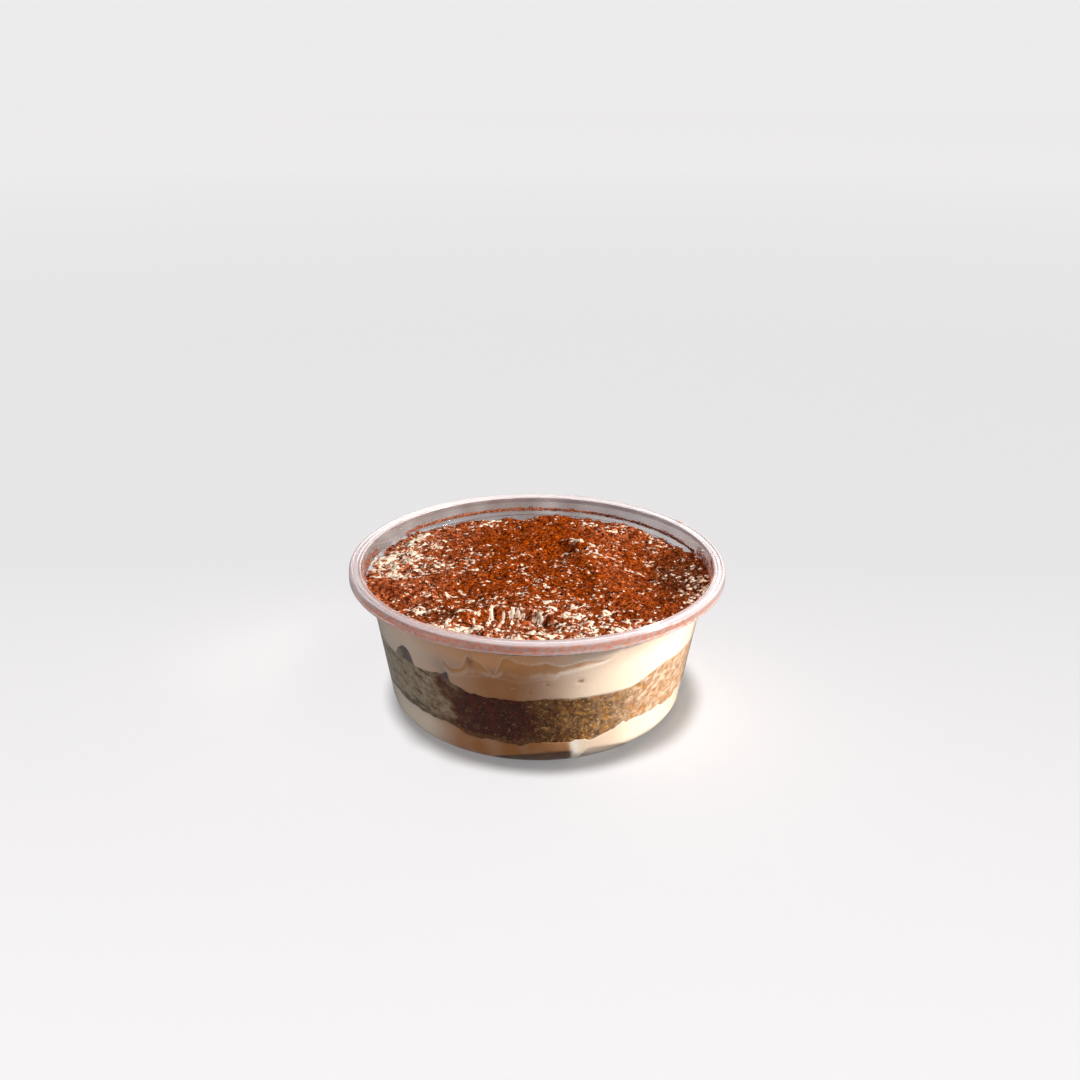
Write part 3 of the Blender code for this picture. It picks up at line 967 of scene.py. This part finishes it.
spongeTones = [  # azimuth, tone in the pores, tone of the crumb, how far cell walls show
    (-120, (0.16, 0.09, 0.045), (0.5, 0.34, 0.19), 0.4),
    (-70, (0.3, 0.24, 0.15), (0.52, 0.45, 0.31), 0.25),
    (-42, (0.27, 0.21, 0.135), (0.56, 0.46, 0.325), 0.3),
    (-36, (0.26, 0.18, 0.105), (0.54, 0.41, 0.27), 0.3),
    (-29, (0.09, 0.03, 0.01), (0.24, 0.1, 0.04), 0.25),
    (-23, (0.045, 0.004, 0.001), (0.13, 0.014, 0.002), 0.28),
    (-4, (0.05, 0.005, 0.001), (0.14, 0.016, 0.002), 0.34),
    (4, (0.09, 0.03, 0.006), (0.25, 0.095, 0.018), 0.8),
    (16, (0.11, 0.05, 0.018), (0.32, 0.17, 0.075), 1),
    (28, (0.22, 0.13, 0.07), (0.46, 0.31, 0.2), 0.8),
    (42, (0.38, 0.23, 0.13), (0.64, 0.46, 0.32), 0.35),
    (70, (0.42, 0.24, 0.12), (0.72, 0.53, 0.37), 0.2),
    (120, (0.2, 0.1, 0.05), (0.52, 0.34, 0.2), 0.4),
]
spongeMarks = {  # tone in the pores, tone of the crumb
    "rind": ((0.11, 0.040, 0.008), (0.27, 0.11, 0.022)),  # the browned underside
    "leftRind": ((0.085, 0.060, 0.030), (0.20, 0.145, 0.080)),
    "streak": [(0.11, 0.065, 0.030)] * 2,
    "pale": [(0.86, 0.68, 0.54)] * 2,
    "amber": [(0.42, 0.20, 0.05)] * 2,
    "toffee": [(0.55, 0.27, 0.09)] * 2,
    # painted shade in the two arched gaps over the sponge
    "gap": [(0.15, 0.115, 0.12)] * 2,
}
spongeWall = {"colour": (0.66, 0.42, 0.13), "size": 2.3, "width": 0.06, "sway": 2.2,
              "glint": (0.88, 0.58, 0.24), "roughness": 0.34, "gloss": 0.05}


def spongeMaterial():
    material, tree, shader = newMaterial("soaked_sponge")
    mottle = mapNode(tree, noiseNode(tree, 1.6, 4, 0.62), 0.36, 0.64, 0, 1)
    crumb = mixColour(tree, mottle, toneNode(tree, "pores"), toneNode(tree, "crumb"))
    place = addNode(tree, "ShaderNodeTexCoord")
    sway = addNode(tree, "ShaderNodeTexNoise")
    setInputs(tree, sway, {"Vector": place.outputs["Object"], "Scale": 1.0 / (1.6 * mm)})
    bend = addNode(tree, "ShaderNodeVectorMath", operation="MULTIPLY_ADD")
    tree.links.new(sway.outputs["Color"], bend.inputs[0])
    bend.inputs[1].default_value = [spongeWall["sway"] * mm] * 3
    tree.links.new(place.outputs["Object"], bend.inputs[2])
    cells = addNode(tree, "ShaderNodeTexVoronoi", feature="DISTANCE_TO_EDGE")
    setInputs(tree, cells, {"Vector": bend.outputs["Vector"], "Scale": 1.0 / (spongeWall["size"] * mm)})
    wall = mapNode(tree, cells.outputs["Distance"], 0, spongeWall["width"], 1, 0)
    breaks = mapNode(tree, noiseNode(tree, 2, 3), 0.47, 0.56, 0, 1)
    lined = mapNode(tree, attributeNode(tree, "walls"), 0.2, 1, 0, 1)
    shown = productNode(tree, productNode(tree, wall, breaks), lined)
    colour = mixColour(tree, shown, crumb, spongeWall["colour"])
    glints = mapNode(tree, noiseNode(tree, 0.85, 2), 0.60, 0.67, 0, 0.9)
    clusters = mapNode(tree, noiseNode(tree, 4.5, 1), 0.40, 0.60, 0.1, 1)
    glints = productNode(tree, productNode(tree, glints, clusters), attributeNode(tree, "walls"))
    setInputs(tree, shader, {
        "Base Color": mixColour(tree, glints, colour, spongeWall["glint"]),
        "Roughness": spongeWall["roughness"],
        "Specular IOR Level": spongeWall["gloss"],
        "Normal": bumpNode(tree, noiseNode(tree, 0.6, 3), 0.4, 0.3),
    })
    return material


baseCream = {"cells": 120, "sideRings": 26}
sponge = {"cells": 220, "sideRings": 52}
topCream = {"cells": 250, "sideRings": 34}


def makeBaseCream():
    mesh = foodBlank("base_cream", baseCream["cells"], baseCream["sideRings"])
    azimuth, level, ring, side = pressLayer(mesh, baseCream["sideRings"], floorHeight, underSponge,
                                            baseEdge, spongeFoot, pocketRelief)
    # coffee stain and painted shade on the front left, up to the clean tongue
    stainAndShade = smooth(azimuth, -45, -25) * (1.0 - smooth(azimuth - tongueEdge(level), -0.5, 0.5))
    stainAndShade = stainAndShade + 0.22 * bump(azimuth, 24, 9)
    tones = creamTone(azimuth, 0.94 * stainAndShade * (1.0 + 0.2 * grain(azimuth, level, 0, 6, 95)))
    # painted shade in the air gap at the foot: dark on the left, paler right of the tongue
    gap = smooth(pocketRelief(azimuth, level), 0.05, 0.3)
    gapShadeDark = gap * (1.0 - 0.8 * smooth(azimuth, 14, 20))
    tones = blendTone(tones, creamLook["pool"], gapShadeDark)
    tones = blendTone(tones, creamLook["film"], 0.6 * (gap - gapShadeDark))
    # painted highlight on the tongue's edge
    facetHighlight = bump(azimuth - tongueEdge(level), 1.7, 1.6) * (level > 0.8)
    writeTone(mesh, "tone", blendTone(tones, creamLook["facetHighlight"], facetHighlight))
    shadowSet.objects.link(addPiece("base_cream", mesh, creamCoat, "base_cream"))


# painted shade on the side facing the key lamp
lampSideDimming = {"azimuth": 106.0, "width": 28.0, "dimmed": 0.32}


def creamTone(azimuth, stainAndShade):  # painted shade: a little darker on the side that faces the key lamp, holding back its glare
    tones = blendTone(np.tile(creamLook["fresh"], (len(azimuth), 1)), creamLook["coffee"], stainAndShade)
    return tones * (1.0 - lampSideDimming["dimmed"] * bump(azimuth, lampSideDimming["azimuth"], lampSideDimming["width"]))[:, None]


def makeSponge():
    mesh = foodBlank("sponge", sponge["cells"], sponge["sideRings"])
    azimuth, level, ring, side = pressLayer(mesh, sponge["sideRings"], underSponge, overSponge,
                                            spongeFoot, spongeCrown, crumbRelief)
    places = readPoints(mesh) / mm
    drift = azimuth + 8.0 * grain(*places.T, 6, 61) + 5.0 * grain(*places.T, 2.2, 63)
    pores = toneAlong(drift, spongeTones)
    crumb = toneAlong(drift, [(stop[0], stop[2]) for stop in spongeTones])
    along = azimuth * 0.88  # mm round the wall
    slant = grain((0.97 * along - 0.2 * level) / 6.5, (0.2 * along + 0.97 * level) / 1.2, 0, 1, 81)
    leftSide = smooth(-azimuth, 30, 40) * (1.0 - smooth(-azimuth, 85, 110))
    rightSide = smooth(azimuth, 26, 40) * (1.0 - smooth(azimuth, 90, 120))
    streaks = leftSide * smooth(slant, 0.24, 0.32)
    blotch = (grain((0.95 * along + 0.3 * level) / 3.2, (0.95 * level - 0.3 * along) / 1.5, 0, 1, 83)
              + 0.4 * grain(along, level, 0, 0.9, 84))
    lumps = grain(along / 1.5, level, 0, 2.2, 87)
    amber = smooth(azimuth, 4, 14) * (1.0 - smooth(azimuth, 40, 55)) * smooth(lumps, 0.15, 0.35)
    rindEdge = spongeFoot(azimuth) + 1.3 + 0.9 * grain(*places.T, 2.5, 85)
    rind = (1.0 - smooth(level, rindEdge, rindEdge + 0.7)) * (1.0 - smooth(azimuth, 10, 24))
    rind = rind * smooth(azimuth, -90, -70)
    leftRind = rind * smooth(-azimuth, 26, 42)
    toffee = rightSide * smooth(-blotch, 0.15, 0.4) * (1.0 - smooth(level, 16, 22))
    marks = {"streak": 0.8 * streaks, "amber": 0.8 * amber,
             "pale": 0.65 * rightSide * smooth(blotch, 0.1, 0.35), "toffee": 0.8 * toffee,
             # gap: painted shade in the arches
             "rind": 0.9 * (rind - leftRind), "leftRind": 0.8 * leftRind, "gap": inArch(azimuth, level)}
    for part, tones in enumerate((pores, crumb)):
        for name, share in marks.items():
            tones[:] = blendTone(tones, spongeMarks[name][part], share)
    writeTone(mesh, "pores", pores)
    writeTone(mesh, "crumb", crumb)
    walls = np.interp(drift, [stop[0] for stop in spongeTones], [stop[3] for stop in spongeTones],
                      period=360.0)
    writeField(mesh, "walls", walls)
    shadowSet.objects.link(addPiece("sponge", mesh, spongeMaterial(), "sponge"))


def makeTopCream():
    mesh = foodBlank("top_cream", topCream["cells"], topCream["sideRings"])
    azimuth, level, ring, side = pressLayer(mesh, topCream["sideRings"], overSponge, creamTop,
                                            spongeCrown, creamEdge, foldRelief)
    relief = foldRelief(azimuth, level)
    hollow = side * np.clip(relief / creamFolds["depth"], 0.0, 1.0) * (1.0 - smooth(rear(azimuth), 0.3, 0.4))
    slope = np.abs(foldRelief(azimuth + 0.3, level) - foldRelief(azimuth - 0.3, level))
    slope = slope + np.abs(foldRelief(azimuth, level + 0.25) - foldRelief(azimuth, level - 0.25))
    patch = 0.95 + 0.4 * grain(azimuth / 1.6, level, 0, 3, 97)
    # painted shade in the hollows under the folds
    depth = smooth(hollow, 0.05, 0.8) * patch * (1.0 - 0.6 * smooth(azimuth, 8, 28))
    # coffee stain and painted shade by azimuth, a little less high up
    stainAndShade = np.interp(azimuth, *zip(*creamStainAndShade)) * (1.0 - 0.24 * smooth(level, 30, 36))
    tones = creamTone(azimuth, side * stainAndShade)
    # above the folds the stain and painted warm shade turn paler and warmer
    tones = blendTone(tones, creamLook["upperStainShade"], side * 1.1 * stainAndShade * smooth(level, 33, 36.5))
    tones = blendTone(tones, creamLook["foldShade"], side * 0.62 * depth)
    # painted shade in the notch
    notchShade = bump(azimuth, -21.1, 1.1) * np.exp(-((level - 35.5) / 1.8) ** 2)
    tones = blendTone(tones, creamLook["notchShade"], side * 0.8 * notchShade)
    nook = 0.45 * bump(azimuth, -31.8, 3.4) * np.exp(-((level - 31.5) / 3.0) ** 2)
    nook = nook + 0.6 * bump(azimuth, -30.5, 1.5) * np.exp(-((level - 29.2) / 1.2) ** 2)
    tones = blendTone(tones, creamLook["shade"], side * np.clip(nook, 0.0, 1.0))
    # painted shade in the bubbles
    pits = np.clip(pitShare(azimuth, level), 0.0, 1.0)
    tones = blendTone(tones, creamLook["pitShade"], side * 0.65 * smooth(pits, 0.25, 0.7))
    foot = foldEdge(azimuth, "foot")
    seam = 0.5 * np.exp(-((level - foot) / 0.25) ** 2) * (foldEdge(azimuth, "brow") > foot + 0.4)
    # painted highlight: thin light lines along the edges of the folds and the seam at their foot
    highlightLine = smooth(slope, 0.06, 0.15) * (1.0 - 0.5 * smooth(hollow, 0.4, 1)) + seam
    highlightLine = side * highlightLine * (0.35 + 0.55 * smooth(azimuth, -6, 10)) * (1.0 - smooth(pits, 0.02, 0.2))
    tones = blendTone(tones, creamLook["edge"], highlightLine)
    x, y, z = readPoints(mesh).T / mm
    # dulled by cocoa a little everywhere, and painted shade in the bowl on the right
    dullAndShaded = (ring == 0) * (0.75 * swell(x, y, 42, -2, 1, 30, 13, 90) + 0.08)
    writeTone(mesh, "tone", blendTone(tones, creamLook["dullAndShaded"], dullAndShaded))
    addPiece("top_cream", mesh, creamCoat, "top_cream")


creamCoat = creamMaterial()
makeBaseCream()
print("base cream ready")
makeSponge()
print("sponge ready")
makeTopCream()
print("top cream ready")


# Cocoa crust, on the same grid as the cream so that both break cleanly through each other

cocoaCrust = {"cells": 250, "thickness": 0.16, "clods": (0.50, 1.9), "crumbs": (0.30, 0.95)}


def clodNoise(x, y, name, seed):  # 0 along the cracks between lumps, growing over them
    return np.abs(grain(x, y, 7, cocoaCrust[name][1], seed))


def cocoaTop(x, y):
    bare = bareness(x, y)
    covered = 1.0 - smooth(bare, -0.9, -0.1)
    lumps = (cocoaCrust["clods"][0] * clodNoise(x, y, "clods", 53) ** 0.6
             + cocoaCrust["crumbs"][0] * clodNoise(x, y, "crumbs", 59) ** 0.6)
    skin = cocoaCrust["thickness"] + (lumps - 0.2) * covered
    return creamTop(x, y) + skin - 0.75 * smooth(bare, -0.12, 0.25)


def cocoaEdge(azimuth):
    return cocoaTop(*onWall(azimuth, creamEdge(azimuth)))


def underCocoa(x, y):
    return creamTop(x, y) - 2.5


def cocoaFoot(azimuth):
    return cocoaEdge(azimuth) - 2.0


cocoaLook = {  # tones of the powder
    "orange": (0.31, 0.051, 0.0020),  # thick and dry
    "rosy": (0.56, 0.168, 0.073),  # thin over cream
    "brown": (0.135, 0.037, 0.012),  # painted shade, darker and browner in the bowl on the right and in hollows
    "cream": (0.92, 0.78, 0.66),  # flecks too small to stand up
    "blush": (0.78, 0.42, 0.30),  # a mere film on the cream
    # painted shade in the cracks between lumps
    "crackShade": (0.035, 0.004, 0.0006),
    "shaded": (0.090, 0.007, 0.0008),
    "roughness": 0.95,
    "gloss": 0.03,
}
thinSpots = [  # x, y, how thin the cocoa is, reach along, reach across, turn
    (-46, 2, 0.85, 40, 18, 90),
    (-30, 34, 0.5, 16, 10, 30),
    (0, -50, 0.6, 50, 12, 0),
    (24, 6, 0.35, 26, 6, 100),
    (30, 34, 0.55, 14, 9, -40),
    (8, -28, 0.25, 20, 9, 0),
]
shadeSpots = [  # the same for how much painted shade browns and darkens it
    (45, -3, 1, 24, 11, 90),
    (-28, -30, 0.55, 10, 7, 20),
    (8, 9, 0.45, 9, 4.5, 80),
    (38, -34, 0.35, 10, 8, 0),
    (-9, -38, 0.4, 12, 4, 0),
]


def cocoaTone(x, y):
    thin = sum(swell(x, y, *spot) for spot in thinSpots) + 0.35 * grain(x, y, 0, 5, 91)
    shadeShare = sum(swell(x, y, *spot) for spot in shadeSpots) + 0.25 * grain(x, y, 0, 7, 93)
    film = smooth(bareness(x, y), -1.1, -0.1) * (0.25 + 0.6 * np.clip(thin, 0.0, 1.0))
    seam = np.minimum(clodNoise(x, y, "clods", 53), 1.4 * clodNoise(x, y, "crumbs", 59))
    # painted shade in the cracks between the lumps
    crackShade = 1.0 - smooth(seam, 0, 0.15)
    tones = blendTone(np.tile(cocoaLook["orange"], (len(x), 1)), cocoaLook["rosy"], thin * 0.8)
    # painted shade: browner and darker in the bowl and the hollows
    tones = blendTone(tones, cocoaLook["brown"], shadeShare)
    tones = blendTone(tones, cocoaLook["rosy"], film * (1.0 - 0.6 * np.clip(shadeShare, 0.0, 1.0)))
    shaded = smooth(grain(x, y, 3, 1.8, 95), 0, 0.32) * (0.45 + 0.45 * np.clip(thin, 0.0, 1.0))
    tones = blendTone(tones, cocoaLook["shaded"], shaded)
    tones = blendTone(tones, cocoaLook["blush"], 0.4 * smooth(bareness(x, y), -0.7, -0.1))
    return blendTone(tones, cocoaLook["crackShade"], 0.85 * crackShade)


def powderTone(tree):
    powder = rampNode(tree, noiseNode(tree, 0.8, 4, 0.65), [
        (0.34, (0.18, 0.11, 0.08)), (0.5, (1.0, 0.97, 0.92)), (0.66, (2.0, 2.3, 2.5))])
    return mixColour(tree, 1.0, toneNode(tree, "tone"), powder, "MULTIPLY")


def powderCoatOf(name, colourOf):
    material, tree, shader = newMaterial(name)
    setInputs(tree, shader, {
        "Base Color": colourOf(tree),
        "Roughness": cocoaLook["roughness"],
        "Specular IOR Level": cocoaLook["gloss"],
        "Normal": bumpNode(tree, noiseNode(tree, 0.35, 2), 0.8, 0.25),
    })
    return material


flecks = {"size": 1.3, "bare": (-3.0, 0.0), "fewer": -0.24, "edge": (0.485, 0.515), "share": 0.95}


def fleckedTone(tree):  # powder with small flecks of cream, more of them round the bare spots
    fleck = noiseNode(tree, flecks["size"], 3.0, 0.6)
    near = mapNode(tree, attributeNode(tree, "bare"), *flecks["bare"], flecks["fewer"], 0.0)
    mask = mapNode(tree, mathNode(tree, "ADD", fleck, near), *flecks["edge"], 0.0, flecks["share"])
    return mixColour(tree, mask, powderTone(tree), cocoaLook["cream"])


def makeCocoa():
    mesh = foodBlank("cocoa", cocoaCrust["cells"], 1)
    pressLayer(mesh, 1, underCocoa, cocoaTop, cocoaFoot, cocoaEdge, noRelief)
    x, y, z = readPoints(mesh).T / mm
    writeTone(mesh, "tone", cocoaTone(x, y))
    writeField(mesh, "bare", bareness(x, y))
    addPiece("cocoa", mesh, cocoaCoat)


# Loose cocoa: one small lump doubled again and again, then every copy turned, squashed and laid down

def manyLumps(name, doublings):
    swarm = bmesh.new()
    bmesh.ops.create_icosphere(swarm, subdivisions=1, radius=1.0)
    for _ in range(doublings):
        bmesh.ops.duplicate(swarm, geom=swarm.verts[:] + swarm.edges[:] + swarm.faces[:])
    return meshFrom(swarm, name)


def layLumps(mesh, centres, sizes, facing, flatness, chance):  # facing: which way each lump is squashed
    count = len(centres)
    lumps = readPoints(mesh).reshape(count, -1, 3)
    spin = chance.uniform(0.0, math.tau, count)[:, None]
    x, y, z = np.moveaxis(lumps, 2, 0)
    turned = np.stack([x * np.cos(spin) - y * np.sin(spin), x * np.sin(spin) + y * np.cos(spin), z], axis=2)
    turned = turned * chance.uniform(0.75, 1.35, (count, 1, 3)) * sizes[:, None, None]
    outward = np.einsum("nvk,nk->nv", turned, facing)[:, :, None] * facing[:, None, :]
    turned = turned - outward * (1.0 - flatness)
    writePoints(mesh, (centres[:, None, :] + turned).reshape(-1, 3) * mm)
    return lumps.shape[1]


looseGrains = {"doublings": 13, "reach": 52.6, "size": (0.10, 0.34)}


def makeGrains():  # crumbs of cocoa lying over the crust and the bare cream
    chance = np.random.default_rng(11)
    mesh = manyLumps("cocoa_grains", looseGrains["doublings"])
    count = 2 ** looseGrains["doublings"]
    turn = chance.uniform(0.0, math.tau, count)
    away = looseGrains["reach"] * np.sqrt(chance.uniform(0.0, 1.0, count))
    x = away * np.sin(turn)
    y = away * np.cos(turn)
    low, high = looseGrains["size"]
    sizes = low + (high - low) * chance.uniform(0.0, 1.0, count) ** 2.5
    level = np.maximum(creamTop(x, y), cocoaTop(x, y)) + 0.25 * sizes
    up = np.tile((0.0, 0.0, 1.0), (count, 1))
    corners = layLumps(mesh, np.stack([x, y, level], axis=1), sizes, up, 0.75, chance)
    tones = cocoaTone(x, y) * chance.uniform(0.5, 1.6, (count, 1))
    writeTone(mesh, "tone", np.repeat(tones, corners, axis=0))
    addPiece("cocoa_grains", mesh, powderCoat)


wallFilms = [  # azimuth, height, reach along, reach up, share of the grains, how patchy
    (0, 42.7, 64, 1.5, 0.34, 1),
    (-152, 41.55, 28, 0.8, 0.21, 0),
    (143, 41.55, 37, 0.8, 0.27, 0),
    (90, 42.2, 15, 1.9, 0.17, 0.4),
    (-93, 42.3, 12, 1.4, 0.12, 0.9),
    (86, 45, 5, 0.3, 0.02, 0.3),
    (-80, 45, 7, 0.4, 0.02, 0.5),
]
dust = {"doublings": 13, "size": (0.10, 0.26), "lowest": 41.05, "off": 0.03,
        "tone": (0.34, 0.105, 0.052), "frontTone": (0.68, 0.32, 0.22)}


def innerWall(height):  # radius of the tub's inside above the shelf
    shape = tubShape
    low = shape["shelfHeight"] + 0.9 * shape["sheet"]
    share = (height - low) / (shape["height"] - 0.2 - low)
    inside = shape["shelfRadius"] - 0.6 * shape["sheet"]
    return inside + (shape["rimInside"] - inside) * np.clip(share, 0.0, 1.0)


def makeDust():  # cocoa clinging to the inside of the tub above the cream
    chance = np.random.default_rng(23)
    mesh = manyLumps("cocoa_dust", dust["doublings"])
    count = 2 ** dust["doublings"]
    pool = 6 * count
    shares = np.array([film[4] for film in wallFilms])
    picks = chance.choice(len(wallFilms), pool, p=shares / shares.sum())
    turns, heights, along, up, _, rough = np.array(wallFilms)[picks].T
    azimuth = turns + along * chance.uniform(-1.0, 1.0, pool)
    bank = 0.6 + 0.9 * grain(azimuth * 0.94, 0, 0, 6, 105)  # how much clings along a bank on the ledge
    tall = up * np.where(rough > 0.0, 1.0, np.clip(bank, 0.05, 1.2))
    height = heights + tall * np.clip(chance.normal(0.0, 0.55, pool), -1.3, 1.3)
    patch = (grain(azimuth * 0.4, height, 0, 1.7, 101)
             + 0.6 * grain(azimuth * 0.94, height, 0, 1, 103))
    patchy = (patch > chance.uniform(-0.35, 0.25, pool)) | (chance.uniform(0.0, 1.0, pool) > rough)
    banked = (rough > 0.0) | (bank > chance.uniform(0.1, 0.5, pool))
    kept = np.flatnonzero(patchy & banked & (height > dust["lowest"]))[:count]
    azimuth = azimuth[kept]
    height = height[kept]
    turn = np.radians(azimuth)
    inward = np.stack([-np.sin(turn), np.cos(turn), np.zeros(count)], axis=1)
    low, high = dust["size"]
    sizes = low + (high - low) * chance.uniform(0.0, 1.0, count) ** 2
    places = -inward * (innerWall(height) - dust["off"])[:, None]
    places[:, 2] = height
    corners = layLumps(mesh, places, sizes, inward, 0.3, chance)
    tones = blendTone(np.tile(dust["frontTone"], (count, 1)), dust["tone"], smooth(rear(azimuth), 0.25, 0.45))
    tones = tones * chance.uniform(0.6, 1.4, (count, 1))
    writeTone(mesh, "tone", np.repeat(tones, corners, axis=0))
    addPiece("cocoa_dust", mesh, powderCoat)


rimCrumbs = [  # azimuth, radius, height, size: smears of soaked biscuit left on the rim
    (121, 57.75, 45.9, 0.32), (121.5, 57.6, 45.95, 0.42), (122.1, 57.45, 46, 0.46), (122.7, 57.4, 46, 0.4),
    (123.3, 57.2, 46, 0.34), (115.3, 57.8, 45.9, 0.4), (114.8, 57.9, 45.9, 0.34), (94, 55.2, 45.9, 0.4),
    (94.4, 55.4, 45.9, 0.3), (-123, 55.3, 45.9, 0.36), (-122.6, 55.4, 45.9, 0.28), (20, 52.9, 41.3, 0.5),
    (20.8, 52.9, 41.4, 0.4), (18.9, 52.9, 41.2, 0.35), (40, 57.9, 45.9, 0.24), (-30, 55, 45.9, 0.24),
]
crumbTone = (0.48, 0.27, 0.15)


def makeCrumbs():
    chance = np.random.default_rng(31)
    mesh = manyLumps("rim_crumbs", 4)
    turn, radius, height, sizes = np.array(rimCrumbs).T
    turn = np.radians(turn)
    places = np.stack([radius * np.sin(turn), -radius * np.cos(turn), height], axis=1)
    up = np.tile((0.0, 0.0, 1.0), (len(places), 1))
    corners = layLumps(mesh, places, sizes, up, 0.2, chance)
    tones = np.tile(crumbTone, (len(places), 1)) * chance.uniform(0.6, 1.4, (len(places), 1))
    writeTone(mesh, "tone", np.repeat(tones, corners, axis=0))
    addPiece("rim_crumbs", mesh, powderCoat)


cocoaCoat = powderCoatOf("cocoa_crust", fleckedTone)
powderCoat = powderCoatOf("loose_powder", powderTone)
makeCocoa()
print("cocoa ready")
makeGrains()
makeDust()
makeCrumbs()
print("loose cocoa and crumbs ready")
